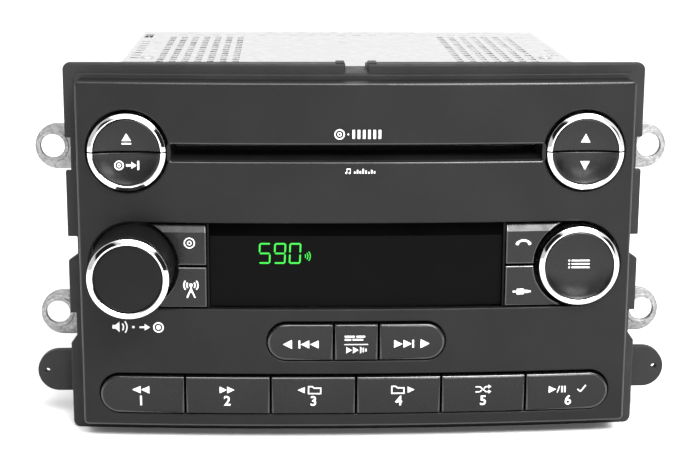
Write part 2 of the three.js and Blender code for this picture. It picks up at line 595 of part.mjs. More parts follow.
function rearSockets() {
  const { x, z, width, height, wall, depth } = CONNECTOR;
  const back = caseRear + SOCKET_PROUD;
  const front = back - depth;
  let housing = box(x - width / 2, x + width / 2, front, back, z - height / 2, z + height / 2)
    .subtract(box(x - width / 2 + wall, x + width / 2 - wall, front + wall, back + 1,
      z - height / 2 + wall, z + height / 2 - wall));
  const span = width - 2 * (wall + PIN.margin);
  for (const row of [-1, 1]) {
    for (let i = 0; i < PIN.perRow; i += 1) {
      const pinX = x - span / 2 + (i * span) / (PIN.perRow - 1);
      const pinZ = z + row * PIN.rowZ;
      housing = housing.add(box(pinX - PIN.half, pinX + PIN.half, front + wall / 2, front + wall + PIN.length,
        pinZ - PIN.half, pinZ + PIN.half));
    }
  }
  add('main_connector', housing, 'epoxy');
  const aerialFront = back - AERIAL.depth;
  add('antenna_socket', turnedY([
    [AERIAL.bore, back], [AERIAL.radius, back], [AERIAL.radius, aerialFront], [0, aerialFront],
    [0, aerialFront + AERIAL.floor], [AERIAL.bore, aerialFront + AERIAL.floor],
  ], AERIAL.x, AERIAL.z, 24), 'steel');
  add('fuse', box(FUSE.x - FUSE.width / 2, FUSE.x + FUSE.width / 2, back - FUSE.depth, back,
    FUSE.z - FUSE.height / 2, FUSE.z + FUSE.height / 2), 'fuseTint');
}

// ---------------------------------------------------------------- disc mechanism
function slotFelt() {
  const x = SLOT.width / 2;
  const y0 = caseFront + CASE.sheet + FIT_GAP;
  const y1 = y0 + FELT.thick;
  const felt = box(-x - FELT.overlap, x + FELT.overlap, y0, y1, slotZ - SLOT.height, slotZ + SLOT.height)
    .subtract(box(-x, x, y0 - 1, y1 + 1, slotZ - FELT.slit / 2, slotZ + FELT.slit / 2));
  add('slot_felt', felt, 'felt');
}

function deckFrame() {
  const { halfWidth, length, sheet } = DECK;
  const y1 = deckFront + length;
  let deck = box(-halfWidth, halfWidth, deckFront, y1, deckBottom, deckBottom + sheet);
  for (const side of [-1, 1]) {
    const [a, b] = [side * (halfWidth - sheet), side * halfWidth];
    deck = deck.add(box(Math.min(a, b), Math.max(a, b), deckFront, y1, deckBottom, deckTop));
    const [x0, x1] = [Math.min(a, b) - 1, Math.max(a, b) + 1];
    deck = deck.subtract(rodX(ROLLER.shaft + ROLLER.clearance, rollerY, rollerZ, x0, x1));
  }
  const railX = RAIL.spacing / 2;
  const railZ = deckBottom + RAIL.height;
  const railStart = deckFront + RAIL.start;
  const blockX = railX + RAIL.side;
  for (const y of [railStart, y1 - RAIL.end]) {
    let block = box(-blockX, blockX, y, y + RAIL.block, deckBottom, railZ + RAIL.side / 2);
    for (const side of [-1, 1]) {
      block = block.subtract(rodY(railBore, side * railX, railZ, y - 1, y + RAIL.block + 1, SMALL_SEGMENTS));
    }
    deck = deck.add(block);
  }
  add('deck_frame', deck, 'steel');
  const railEnd = y1 - RAIL.end + RAIL.block;
  for (const [side, name] of [[-1, 'rail_left'], [1, 'rail_right']]) {
    add(name, rodY(RAIL.radius, side * railX, railZ, railStart, railEnd, SMALL_SEGMENTS), 'steel');
  }
}

function laserSled() {
  const y0 = deckFront + RAIL.start + SLED.start;
  const y1 = y0 + SLED.length;
  const half = SLED.width / 2;
  const railX = RAIL.spacing / 2;
  const wingX = railX + SLED.wing;
  const z0 = deckBottom + SLED.rise;
  const top = z0 + SLED.height;
  let sled = box(-wingX, wingX, y0, y1, z0, top - 1)
    .add(box(-half, half, y0 + 2, y1 - 2, z0, top))
    .add(rodZ(SLED.lensR, 0, (y0 + y1) / 2, top - 0.5, top + SLED.lens, 24));
  for (const side of [-1, 1]) {
    const bore = rodY(railBore, side * railX, deckBottom + RAIL.height, y0 - 1, y1 + 1, SMALL_SEGMENTS);
    sled = sled.subtract(bore);
  }
  add('laser_sled', sled, 'epoxy');
}

function spindle() {
  const motorBase = deckBottom + DECK.sheet + FIT_GAP;
  add('spindle_motor', rodZ(MOTOR.radius, 0, turntableY, motorBase, motorBase + MOTOR.height, 24), 'steel');
  const under = motorBase + MOTOR.height + FIT_GAP;
  const disc = rodZ(TURNTABLE.radius, 0, turntableY, under, turntableZ);
  const hub = rodZ(TURNTABLE.hub, 0, turntableY, turntableZ - 1, turntableZ + TURNTABLE.hubRise, 24);
  add('turntable', disc.add(hub), 'epoxy');
}

function feedRoller() {
  const rubber = rodX(ROLLER.radius, rollerY, rollerZ, -ROLLER.halfWidth, ROLLER.halfWidth, 24);
  const shaftX = DECK.halfWidth + ROLLER.overhang;
  const shaft = rodX(ROLLER.shaft, rollerY, rollerZ, -shaftX, shaftX);
  add('feed_roller', rubber.add(shaft), 'rubber');
}

// The clamp arm swings about a cross pin behind the turntable and ends in a round pad over it.
function clampArm() {
  const pinY = deckFront + DECK.length - CLAMP.pinInset;
  const z = turntableZ + CLAMP.above;
  const half = CLAMP.width / 2;
  let arm = box(-half, half, turntableY, pinY, z, z + CLAMP.thick);
  arm = arm.add(rodZ(TURNTABLE.radius - 1, 0, turntableY, z, z + CLAMP.thick, 24));
  arm = arm.add(rodX(CLAMP.pin, pinY, z + CLAMP.thick / 2, -DECK.halfWidth + DECK.sheet + FIT_GAP,
    DECK.halfWidth - DECK.sheet - FIT_GAP));
  add('clamp_arm', arm, 'steel');
}

frontFascia();
mountingFrame();
halfButton('button_eject', 'ring_eject', -1, 1);
halfButton('button_load', 'ring_load', -1, -1);
halfButton('button_up', 'ring_up', 1, 1);
halfButton('button_down', 'ring_down', 1, -1);
menuButton();
volumeKnob();
sideKeys();
seekKeys();
presetKeys();
displayStack();
frontBoards();
chassis();
topCover();
coverScrews();
rearPanel();
heatSink();
sideBracket(-1);
sideBracket(1);
mainBoard();
boardParts();
rearSockets();
slotFelt();
deckFrame();
laserSled();
spindle();
feedRoller();
clampArm();

// The origin is the middle of the footprint, on the surface that the radio stands on.
group.position.set(0, -(knobFront + sinkBack) / 2, frameZ);

export default group;
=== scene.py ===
"""The looks of a double-height car radio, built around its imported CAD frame.

Shapes are drawn in millimetres about the middle of the fascia: x to the right, y to the back, z up, with
y = 0 at the front of the fascia's crown. Sizes and places come from the frame's own boxes where it has them.
"""

import json
import math

import bmesh
import bpy
from mathutils import Euler, Matrix, Vector
from mathutils.geometry import tessellate_polygon

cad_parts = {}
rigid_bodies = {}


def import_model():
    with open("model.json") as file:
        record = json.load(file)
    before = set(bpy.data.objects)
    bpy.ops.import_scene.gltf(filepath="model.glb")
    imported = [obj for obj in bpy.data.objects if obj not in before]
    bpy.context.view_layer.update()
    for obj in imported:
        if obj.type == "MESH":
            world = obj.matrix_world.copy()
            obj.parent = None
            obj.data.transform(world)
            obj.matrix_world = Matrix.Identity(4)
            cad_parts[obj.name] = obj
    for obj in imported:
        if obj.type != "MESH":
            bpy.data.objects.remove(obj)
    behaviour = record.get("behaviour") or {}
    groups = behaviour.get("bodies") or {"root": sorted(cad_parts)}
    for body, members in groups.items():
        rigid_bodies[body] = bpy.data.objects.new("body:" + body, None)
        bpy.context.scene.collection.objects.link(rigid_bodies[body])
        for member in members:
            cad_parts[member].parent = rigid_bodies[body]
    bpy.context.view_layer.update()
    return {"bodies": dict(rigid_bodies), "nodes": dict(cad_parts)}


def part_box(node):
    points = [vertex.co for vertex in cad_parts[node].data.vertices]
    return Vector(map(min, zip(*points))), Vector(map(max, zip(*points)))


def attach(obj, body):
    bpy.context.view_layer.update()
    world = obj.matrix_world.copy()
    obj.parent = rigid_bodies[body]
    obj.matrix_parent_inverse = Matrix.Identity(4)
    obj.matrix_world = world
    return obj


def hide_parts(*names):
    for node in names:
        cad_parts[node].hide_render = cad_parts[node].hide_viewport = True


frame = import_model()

# ---------------------------------------------------------------- the drawing frame
MM = 0.001
FASCIA_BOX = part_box("front_fascia")
ORIGIN = Vector((0, FASCIA_BOX[0].y, (FASCIA_BOX[0].z + FASCIA_BOX[1].z) / 2))
FASCIA_X = FASCIA_BOX[1].x / MM
FASCIA_Z = (FASCIA_BOX[1].z - FASCIA_BOX[0].z) / 2 / MM
CROWN = 4.33             # how far the fascia's ends lie behind its middle
WALL = 2.4               # thickness of the fascia
FASCIA_DEPTH = 10.7
RUNNING_GAP = 0.35       # round a button
ARC_STEPS = 8            # steps in a quarter turn of a corner


def crown(x):
    return CROWN * (x / FASCIA_X) ** 2


def span(node):
    """The lowest and highest corner of a CAD node in the drawing frame."""
    lo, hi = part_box(node)
    return (lo - ORIGIN) / MM, (hi - ORIGIN) / MM


def middle(node):
    lo, hi = span(node)
    return (lo + hi) / 2


def mirrored(side, near, far):
    """Two distances from the middle plane as the lower and higher x on one side."""
    return sorted((side * near, side * far))


def body_of(node):
    holder = frame["nodes"][node].parent
    return next(name for name, empty in frame["bodies"].items() if empty == holder)


def least_crown(lo, hi):
    """The crown at the point of a span that is nearest the middle."""
    return 0 if lo.x < 0 < hi.x else crown(min(abs(lo.x), abs(hi.x)))


# ---------------------------------------------------------------- outlines
def arc(x, z, r, start, end, steps=32):
    """Points on a circle from one angle to another, in degrees."""
    angles = [math.radians(start + (end - start) * i / steps) for i in range(steps + 1)]
    return [(x + r * math.cos(a), z + r * math.sin(a)) for a in angles]


def circle(x, z, r, steps=48):
    return arc(x, z, r, 0, 360, steps)[:-1]


def filleted(corners, steps=ARC_STEPS):
    """A closed outline of (x, z, radius) corners, each rounded as far as its sides allow."""
    points = []
    count = len(corners)
    for i, (x, z, radius) in enumerate(corners):
        corner = Vector((x, z))
        before = Vector(corners[i - 1][:2]) - corner
        after = Vector(corners[(i + 1) % count][:2]) - corner
        half_turn = before.angle(after, math.pi) / 2
        if radius < 1e-6 or half_turn > math.radians(89):
            points.append((x, z))
            continue
        reach = min(radius / math.tan(half_turn), 0.499 * before.length, 0.499 * after.length)
        radius = reach * math.tan(half_turn)
        a, b = before.normalized(), after.normalized()
        centre = corner + (a + b).normalized() * radius / math.sin(half_turn)
        start, end = corner + a * reach - centre, corner + b * reach - centre
        turn = start.angle_signed(end)
        for k in range(steps + 1):
            spoke = start.copy()
            spoke.rotate(Matrix.Rotation(-turn * k / steps, 2))
            points.append(tuple(centre + spoke))
    return points


def rounded_rect(x0, x1, z0, z1, r, steps=ARC_STEPS):
    return filleted([(x0, z0, r), (x1, z0, r), (x1, z1, r), (x0, z1, r)], steps)


def centred_rect(x, z, r):
    return rounded_rect(-x, x, -z, z, r)


def stadium(x, z, width, height):
    return rounded_rect(x - width / 2, x + width / 2, z - height / 2, z + height / 2, height / 2, 16)


def area(loop):
    return sum(a[0] * b[1] - b[0] * a[1] for a, b in zip(loop, loop[1:] + loop[:1])) / 2


def wound(loop, outward):
    """The loop with its material on its left."""
    return list(loop) if (area(loop) > 0) == outward else list(loop)[::-1]


def offset(loop, distance):
    """The loop moved to its left by a distance, with mitred corners."""
    if not distance:
        return loop
    moved = []
    for before, point, after in zip(loop[-1:] + loop[:-1], loop, loop[1:] + loop[:1]):
        normals = []
        for a, b in ((before, point), (point, after)):
            side = Vector((a[1] - b[1], b[0] - a[0]))
            normals.append(side.normalized())
        spread = max(1 + normals[0].dot(normals[1]), 0.35)
        shift = (normals[0] + normals[1]) * distance / spread
        moved.append((point[0] + shift.x, point[1] + shift.y))
    return moved


# ---------------------------------------------------------------- solids
def join_rings(bm, rings, slot=0):
    for near, far in zip(rings, rings[1:]):
        for i in range(len(near)):
            j = (i + 1) % len(near)
            face = bm.faces.new((near[i], near[j], far[j], far[i]))
            face.material_index = slot


BEVEL_DEPTH = 0.65       # of a rounded front edge, against its width


def plate(bm, loops, front, back, bevel=0.0, bevel_steps=3, polished=(0,)):
    """A slab between two y, from an outline and its holes, with rounded front edges.

    The rounded edges of the polished loops are in material slot 1.
    """
    levels = [(0.0, back)]
    for i in range(bevel_steps + 1 if bevel else 1):
        t = math.pi / 2 * i / bevel_steps
        levels.append((bevel * (1 - math.cos(t)), front + BEVEL_DEPTH * bevel * (1 - math.sin(t))))
    caps = []
    for number, loop in enumerate(loops):
        loop = wound(loop, number == 0)
        rings = [[bm.verts.new((x, y, z)) for x, z in offset(loop, inset)] for inset, y in levels]
        join_rings(bm, rings[:2])
        join_rings(bm, rings[1:], 1 if number in polished else 0)
        caps.append((rings[0], rings[-1]))
    for end in (0, 1):
        flat = [vert for cap in caps for vert in cap[end]]
        outlines = [[Vector((vert.co.x, vert.co.z, 0)) for vert in cap[end]] for cap in caps]
        for triangle in tessellate_polygon(outlines):
            bm.faces.new([flat[i] for i in triangle])


def lathe(bm, profile, x=0.0, z=0.0, steps=96):
    """A closed profile of (radius, y) points, turned about a line along y."""
    rings = []
    for i in range(steps):
        a = 2 * math.pi * i / steps
        rings.append([bm.verts.new((x + r * math.cos(a), y, z + r * math.sin(a))) for r, y in profile])
    join_rings(bm, rings + rings[:1])


def block(bm, lo, hi, bevel=0.0):
    """A box with all its edges chamfered."""
    made = bmesh.ops.create_cube(bm, size=1)["verts"]
    lo, hi = Vector(lo), Vector(hi)
    for vert in made:
        vert.co = Vector(((lo[i] + hi[i]) / 2 + vert.co[i] * (hi[i] - lo[i]) for i in range(3)))
    if bevel:
        edges = dict.fromkeys(edge for vert in made for edge in vert.link_edges)
        bmesh.ops.bevel(bm, geom=list(edges), offset=bevel, segments=2, affect="EDGES", profile=0.6)


def pierced_sheet(bm, us, vs, is_hole, w0, w1, axes="xyz"):
    """A sheet on a grid of u and v lines, with the cells left out where is_hole(u, v) is true."""
    where = ["xyz".index(letter) for letter in axes]

    def point(u, v, w):
        co = [0, 0, 0]
        for axis, value in zip(where, (u, v, w)):
            co[axis] = value
        return co

    verts = {}
    filled = set()

    def vert(i, j, w):
        if (i, j, w) not in verts:
            verts[i, j, w] = bm.verts.new(point(us[i], vs[j], w))
        return verts[i, j, w]

    for i in range(len(us) - 1):
        for j in range(len(vs) - 1):
            if not is_hole((us[i] + us[i + 1]) / 2, (vs[j] + vs[j + 1]) / 2):
                filled.add((i, j))
    for i, j in filled:
        for w in (w0, w1):
            bm.faces.new((vert(i, j, w), vert(i + 1, j, w), vert(i + 1, j + 1, w), vert(i, j + 1, w)))
        sides = (((i, j), (i + 1, j), (i, j - 1)), ((i, j + 1), (i + 1, j + 1), (i, j + 1)),
                 ((i, j), (i, j + 1), (i - 1, j)), ((i + 1, j), (i + 1, j + 1), (i + 1, j)))
        for a, b, neighbour in sides:
            if neighbour not in filled:
                bm.faces.new((vert(*a, w0), vert(*b, w0), vert(*b, w1), vert(*a, w1)))


def cut(bm, axis, step):
    """Splits every face along planes a step apart, so that a curved surface can follow."""
    places = [vert.co[axis] for vert in bm.verts]
    first, last = math.ceil(min(places) / step), math.floor(max(places) / step)
    normal = Vector((axis == 0, axis == 1, axis == 2))
    for i in range(first, last + 1):
        parts = bm.verts[:] + bm.edges[:] + bm.faces[:]
        bmesh.ops.bisect_plane(bm, geom=parts, dist=1e-4, plane_co=normal * (i * step), plane_no=normal)


def keep_side(bm, z, up):
    """Keeps what is above a level (up 1) or below it (up -1), and closes the cut."""
    parts = bm.verts[:] + bm.edges[:] + bm.faces[:]
    bmesh.ops.bisect_plane(bm, geom=parts, dist=1e-4, plane_co=(0, 0, z), plane_no=(0, 0, -up),
                           clear_outer=True)
    bmesh.ops.holes_fill(bm, edges=[edge for edge in bm.edges if edge.is_boundary], sides=0)


def shape(bm, step=0.0, flat_from=None, relief=None, step_z=0.0):
    """Bends flat work to the crown, up to the depth flat_from, and adds a relief to its front."""
    if step:
        cut(bm, 0, step)
    if step_z:
        cut(bm, 2, step_z)
    for vert in bm.verts:
        if flat_from is None or vert.co.y < flat_from:
            y = vert.co.y + crown(vert.co.x)
            vert.co.y = y + (relief(vert.co.x, vert.co.z) if relief else 0)


def join(bm, *others):
    """Adds other work to the first, and lets go of it."""
    for other in others:
        mesh = bpy.data.meshes.new("part")
        other.to_mesh(mesh)
        other.free()
        bm.from_mesh(mesh)
        bpy.data.meshes.remove(mesh)
    return bm


def join_turned(bm, part, degrees, axis, place):
    """Turns a part about the origin, moves it to its place and adds it to the rest."""
    turn = Matrix.Rotation(math.radians(degrees), 3, axis)
    bmesh.ops.rotate(part, cent=(0, 0, 0), matrix=turn, verts=part.verts[:])
    bmesh.ops.translate(part, vec=place, verts=part.verts[:])
    join(bm, part)


def piece(name, bm, material, body="radio", sharp=35, replaces=(), slot=None, even=True, edge=None):
    """Turns finished work into an object that rides on a body. An edge material goes on polished edges."""
    if not edge:
        for face in bm.faces:
            face.material_index = 0
    bmesh.ops.remove_doubles(bm, verts=bm.verts[:], dist=1e-4)
    bmesh.ops.dissolve_degenerate(bm, edges=bm.edges[:], dist=1e-5)
    bmesh.ops.recalc_face_normals(bm, faces=bm.faces[:])
    mesh = bpy.data.meshes.new(name)
    bm.to_mesh(mesh)
    bm.free()
    mesh.transform(Matrix.Translation(ORIGIN) @ Matrix.Scale(MM, 4))
    mesh.shade_smooth()
    mesh.set_sharp_from_angle(angle=math.radians(sharp))
    mesh.materials.append(material)
    if edge:
        mesh.materials.append(edge)
    obj = bpy.data.objects.new(name, mesh)
    bpy.context.scene.collection.objects.link(obj)
    if even:
        weighted = obj.modifiers.new("even_shading", "WEIGHTED_NORMAL")
        weighted.keep_sharp = True
    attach(obj, body)
    if replaces:
        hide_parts(*replaces)
    return obj


def stand_in(node, bm, material, slot, **options):
    """A finer piece that takes the place of one CAD node, on the same body."""
    return piece(f"{node}_skin", bm, material, body_of(node), replaces=(node,), slot=slot, **options)


# ---------------------------------------------------------------- materials
class Surface:
    """A procedural material round one Principled shader."""

    def __init__(self, name, **sockets):
        self.material = bpy.data.materials.new(name)
        self.material.use_nodes = True
        self.tree = self.material.node_tree
        self.shader = self.tree.nodes["Principled BSDF"]
        for socket, value in sockets.items():
            self.shader.inputs[socket.replace("_", " ")].default_value = value
        self.place = self.tree.nodes.new("ShaderNodeTexCoord").outputs["Object"]

    def node(self, kind, links=(), **values):
        made = self.tree.nodes.new(kind)
        for key, value in values.items():
            if hasattr(made, key):
                setattr(made, key, value)
            else:
                made.inputs[key.replace("_", " ")].default_value = value
        for socket, source in links:
            self.tree.links.new(source, made.inputs[socket])
        return made

    def stretched(self, scale):
        return self.node("ShaderNodeMapping", [("Vector", self.place)], Scale=scale).outputs["Vector"]

    def noise(self, scale, detail=3.0, stretch=None):
        where = self.stretched(stretch) if stretch else self.place
        made = self.node("ShaderNodeTexNoise", [("Vector", where)], Scale=scale, Detail=detail)
        return made.outputs["Fac"]

    def cells(self, scale):
        made = self.node("ShaderNodeTexVoronoi", [("Vector", self.place)], Scale=scale)
        return self.node("ShaderNodeRGBToBW", [("Color", made.outputs["Color"])]).outputs["Val"]

    def spread(self, source, low, high, start=0.35, end=0.65):
        """A texture's range from start to end, stretched from low to high."""
        made = self.node("ShaderNodeMapRange", [("Value", source)])
        for socket, value in (("From Min", start), ("From Max", end), ("To Min", low), ("To Max", high)):
            made.inputs[socket].default_value = value
        return made.outputs["Result"]

    def colour(self, source, dark, light):
        made = self.node("ShaderNodeMix", [("Factor", source)], data_type="RGBA")
        made.inputs["A"].default_value = (*dark, 1)
        made.inputs["B"].default_value = (*light, 1)
        self.tree.links.new(made.outputs["Result"], self.shader.inputs["Base Color"])

    def rough(self, source, low, high):
        self.tree.links.new(self.spread(source, low, high), self.shader.inputs["Roughness"])

    def bump(self, source, strength, depth):
        made = self.node("ShaderNodeBump", [("Height", source)], Strength=strength, Distance=depth)
        self.tree.links.new(made.outputs["Normal"], self.shader.inputs["Normal"])


def grey(value):
    return (value, value, value)


def moulded(name, dark, light, rough, grain, depth, specular=0.35):
    """Moulded plastic: a fine spark-eroded grain, faint mottling and uneven gloss."""
    surface = Surface(name, Specular_IOR_Level=specular)
    surface.colour(surface.spread(surface.noise(45, 5), 0, 1), grey(dark), grey(light))
    surface.rough(surface.noise(220, 4), rough - 0.05, rough + 0.06)
    surface.bump(surface.noise(grain, 2), 0.35, depth)
    return surface.material


def plated():
    surface = Surface("bright_chrome", Metallic=1.0)
    surface.colour(surface.noise(90), (0.86, 0.87, 0.88), (0.93, 0.93, 0.93))
    surface.rough(surface.noise(900, 2), 0.025, 0.07)
    surface.bump(surface.noise(1500, 2), 0.05, 0.00002)
    return surface.material


def zinc(name, dark, light, rough, cell, pits):
    """Zinc-coated sheet: crystal spangle under small dark pits, with scuffs along one way."""
    surface = Surface(name, Metallic=1.0)
    spangle = surface.spread(surface.cells(cell), 0.25, 1, 0.1, 0.9)
    wear = surface.spread(surface.noise(1.7 * cell, 6), 1 - pits, 1, 0.38, 0.50)
    both = surface.node("ShaderNodeMath", operation="MULTIPLY")
    surface.tree.links.new(spangle, both.inputs[0])
    surface.tree.links.new(wear, both.inputs[1])
    surface.colour(both.outputs[0], grey(dark), grey(light))
    surface.rough(surface.noise(260, 5, (1, 1, 6)), rough - 0.1, rough + 0.16)
    surface.bump(surface.noise(900, 5), 0.4, 0.0001)
    return surface.material


def brushed(name, dark, light, rough, stretch):
    """Rolled or extruded metal, with its grain along one way."""
    surface = Surface(name, Metallic=1.0)
    grain = surface.noise(240, 6, stretch)
    surface.colour(surface.spread(grain, 0, 1), grey(dark), grey(light))
    surface.rough(grain, rough - 0.08, rough + 0.12)
    surface.bump(grain, 0.2, 0.00006)
    return surface.material


def smoked():
    surface = Surface("smoked_glass", Specular_IOR_Level=0.008)
    surface.colour(surface.noise(60), grey(0.0030), grey(0.0040))
    surface.rough(surface.noise(400, 3), 0.12, 0.2)
    return surface.material


def glowing():
    surface = Surface("lit_segment", Roughness=0.4)
    surface.colour(surface.noise(3000), (0.0, 0.10, 0.004), (0.0, 0.16, 0.006))
    surface.shader.inputs["Emission Color"].default_value = (0.004, 0.75, 0.02, 1)
    surface.shader.inputs["Emission Strength"].default_value = 0.85
    return surface.material


def printed():
    surface = Surface("white_print", Roughness=0.55)
    surface.colour(surface.spread(surface.noise(1800, 3), 0, 1), grey(0.62), grey(0.84))
    surface.bump(surface.noise(4000, 2), 0.15, 0.00002)
    return surface.material


def laminate():
    """A circuit board: green resist over copper tracks, with drilled pads."""
    surface = Surface("board_laminate")
    tracks = surface.node("ShaderNodeTexBrick", [("Vector", surface.place)], Scale=160, Mortar_Size=0.045)
    surface.colour(tracks.outputs["Fac"], (0.010, 0.075, 0.030), (0.025, 0.16, 0.06))
    surface.rough(surface.noise(300), 0.28, 0.42)
    surface.bump(tracks.outputs["Fac"], 0.3, 0.00004)
    return surface.material


def fibrous():
    surface = Surface("pressed_felt", Roughness=1.0, Sheen_Weight=0.6)
    surface.colour(surface.noise(2500, 4), grey(0.004), grey(0.016))
    surface.bump(surface.noise(5000, 3), 0.8, 0.0002)
    return surface.material


def tinted(name, dark, light, rough, **sockets):
    surface = Surface(name, **sockets)
    surface.colour(surface.spread(surface.noise(150, 4), 0, 1), dark, light)
    surface.rough(surface.noise(500, 3), rough - 0.05, rough + 0.08)
    surface.bump(surface.noise(2400, 2), 0.1, 0.00003)
    return surface.material


def pale_floor():
    surface = Surface("pale_floor", Roughness=0.8, Specular_IOR_Level=0.1)
    surface.colour(surface.noise(3, 3), grey(0.90), grey(0.92))
    return surface.material


FASCIA_PLASTIC = moulded("soft_black_plastic", 0.007, 0.009, 0.36, 2600, 0.00009, 0.15)
FRAME_PLASTIC = moulded("grained_black_plastic", 0.0145, 0.020, 0.55, 1500, 0.00022, 0.18)
KEY_PLASTIC = moulded("smooth_black_plastic", 0.005, 0.0065, 0.25, 3600, 0.00004, 0.24)
FASCIA_EDGE = moulded("soft_black_edge", 0.007, 0.009, 0.20, 2600, 0.00004, 0.55)
KEY_EDGE = moulded("smooth_black_edge", 0.005, 0.0065, 0.18, 3600, 0.00003, 0.7)
KNOB_PLASTIC = moulded("soft_touch_plastic", 0.0055, 0.0075, 0.40, 3000, 0.00008, 0.08)
# Black plastic of the parts deep in the slot and beside the display, darker and duller than the fascia:
# partly its own black, partly painted shade of the recess.
RECESS_SHADED_PLASTIC = moulded("recess_shaded_black_plastic", 0.003, 0.005, 0.62, 1800, 0.00015, 0.08)
# Near-black, almost unlit finish of the painted shadow band on the display glass.
LIP_SHADOW_BLACK = moulded("painted_shadow_black", 0.0004, 0.0009, 0.7, 1800, 0.00008, 0.01)
CHROME = plated()
LENS = smoked()
PRINT = printed()
GLOW = glowing()
GALVANISED = zinc("galvanised_steel", 0.18, 0.36, 0.44, 1000, 0.6)
COVER_STEEL = zinc("pale_cover_steel", 0.50, 0.56, 0.38, 900, 0.15)
INNER_STEEL = brushed("plain_steel", 0.45, 0.62, 0.34, (1, 12, 1))
SINK_METAL = brushed("extruded_aluminium", 0.55, 0.70, 0.36, (6, 6, 0.4))
BOARD = laminate()
RUBBER = tinted("grey_rubber", grey(0.03), grey(0.045), 0.8)
FELT = fibrous()
EPOXY = moulded("moulded_epoxy", 0.012, 0.018, 0.45, 2200, 0.0001)
SLEEVE = tinted("shrunk_sleeve", (0.010, 0.013, 0.02), (0.016, 0.02, 0.03), 0.32)
FUSE_PLASTIC = tinted("tinted_fuse_plastic", (0.30, 0.02, 0.012), (0.42, 0.035, 0.02), 0.2, Coat_Weight=0.5)
TIN = brushed("tinned_contact", 0.70, 0.82, 0.25, (1, 1, 8))
PANEL_GLASS = tinted("display_panel", (0.01, 0.02, 0.018), (0.014, 0.03, 0.024), 0.2)


# ---------------------------------------------------------------- camera, light and floor
CAMERA = {"place": (-24.765, -542.548, 132.088), "pitch": 12.796, "yaw": 2.364, "roll": 0.304}
LENS_MM = 84.846
SENSOR_MM = 36.0


def camera():
    pitch, yaw, roll = (math.radians(CAMERA[key]) for key in ("pitch", "yaw", "roll"))
    ahead = Vector((math.sin(yaw) * math.cos(pitch), math.cos(yaw) * math.cos(pitch), -math.sin(pitch)))
    level = Vector((math.cos(yaw), -math.sin(yaw), 0))
    upright = level.cross(ahead)
    right = level * math.cos(roll) + upright * math.sin(roll)
    up = upright * math.cos(roll) - level * math.sin(roll)
    data = bpy.data.cameras.new("camera")
    data.lens, data.sensor_width = LENS_MM, SENSOR_MM
    obj = bpy.data.objects.new("camera", data)
    turn = Matrix((right, up, -ahead)).transposed().to_4x4()
    obj.matrix_world = Matrix.Translation(ORIGIN + Vector(CAMERA["place"]) * MM) @ turn
    bpy.context.scene.collection.objects.link(obj)
    bpy.context.scene.camera = obj


def soft_light(name, place, target, size, power):
    data = bpy.data.lights.new(name, "AREA")
    data.shape = "RECTANGLE"
    data.size, data.size_y = size
    data.energy = power
    obj = bpy.data.objects.new(name, data)
    aim = Vector(target) - Vector(place)
    obj.matrix_world = Matrix.Translation(place) @ aim.to_track_quat("-Z", "Y").to_matrix().to_4x4()
    bpy.context.scene.collection.objects.link(obj)


# What the chrome picks up as dark patches: direction, half width in degrees and level.
DARK_CARDS = (
    ((-0.60, -0.64, 0.45), 19, 0.02), ((0.80, -0.56, 0.20), 19, 0.02), ((0.05, -0.88, 0.42), 9, 0.25),
)
ROOM = {"left": 0.63, "right": 1.0, "behind": 1.35, "overhead": 0.5}


def sky():
    """White to the eye.

    What lights the radio is a room that is darker to the left and overhead and brighter behind, with
    dark cards in front.
    """
    world = bpy.data.worlds.new("studio")
    world.use_nodes = True
    bpy.context.scene.world = world
    tree = world.node_tree
    tree.nodes.clear()

    def node(kind, *sources, **values):
        made = tree.nodes.new(kind)
        for key, value in values.items():
            setattr(made, key, value)
        for socket, source in zip(made.inputs, sources):
            if isinstance(source, bpy.types.NodeSocket):
                tree.links.new(source, socket)
            elif source is not None:
                socket.default_value = source
        return made.outputs[0]

    way = tree.nodes.new("ShaderNodeTexCoord").outputs["Generated"]
    parts = tree.nodes.new("ShaderNodeSeparateXYZ")
    tree.links.new(way, parts.inputs[0])
    level = node("ShaderNodeMapRange", parts.outputs["X"], -0.9, 0.9, ROOM["left"], ROOM["right"])
    behind = node("ShaderNodeMapRange", parts.outputs["Y"], 0.0, 0.3, 0.0, 1.0)
    spare = node("ShaderNodeMath", ROOM["behind"], level, operation="SUBTRACT")
    level = node("ShaderNodeMath", behind, spare, level, operation="MULTIPLY_ADD")
    overhead = node("ShaderNodeMapRange", parts.outputs["Z"], 0.7, 0.9, 1.0, ROOM["overhead"])
    level = node("ShaderNodeMath", level, overhead, operation="MULTIPLY")
    for direction, width, shade in DARK_CARDS:
        towards = Vector(direction).normalized()
        across = tree.nodes.new("ShaderNodeVectorMath")
        across.operation = "DOT_PRODUCT"
        tree.links.new(way, across.inputs[0])
        across.inputs[1].default_value = towards
        edges = [math.cos(math.radians(width + extra)) for extra in (2, -2)]
        card = node("ShaderNodeMapRange", across.outputs["Value"], *edges, 1.0, shade)
        level = node("ShaderNodeMath", level, card, operation="MULTIPLY")
    room = node("ShaderNodeBackground", (1, 1, 1, 1), level)
    white = node("ShaderNodeBackground", (1, 1, 1, 1), 1.1)
    seen = tree.nodes.new("ShaderNodeLightPath").outputs["Is Camera Ray"]
    both = node("ShaderNodeMixShader", seen, room, white)
    node_out = tree.nodes.new("ShaderNodeOutputWorld")
    tree.links.new(both, node_out.inputs["Surface"])


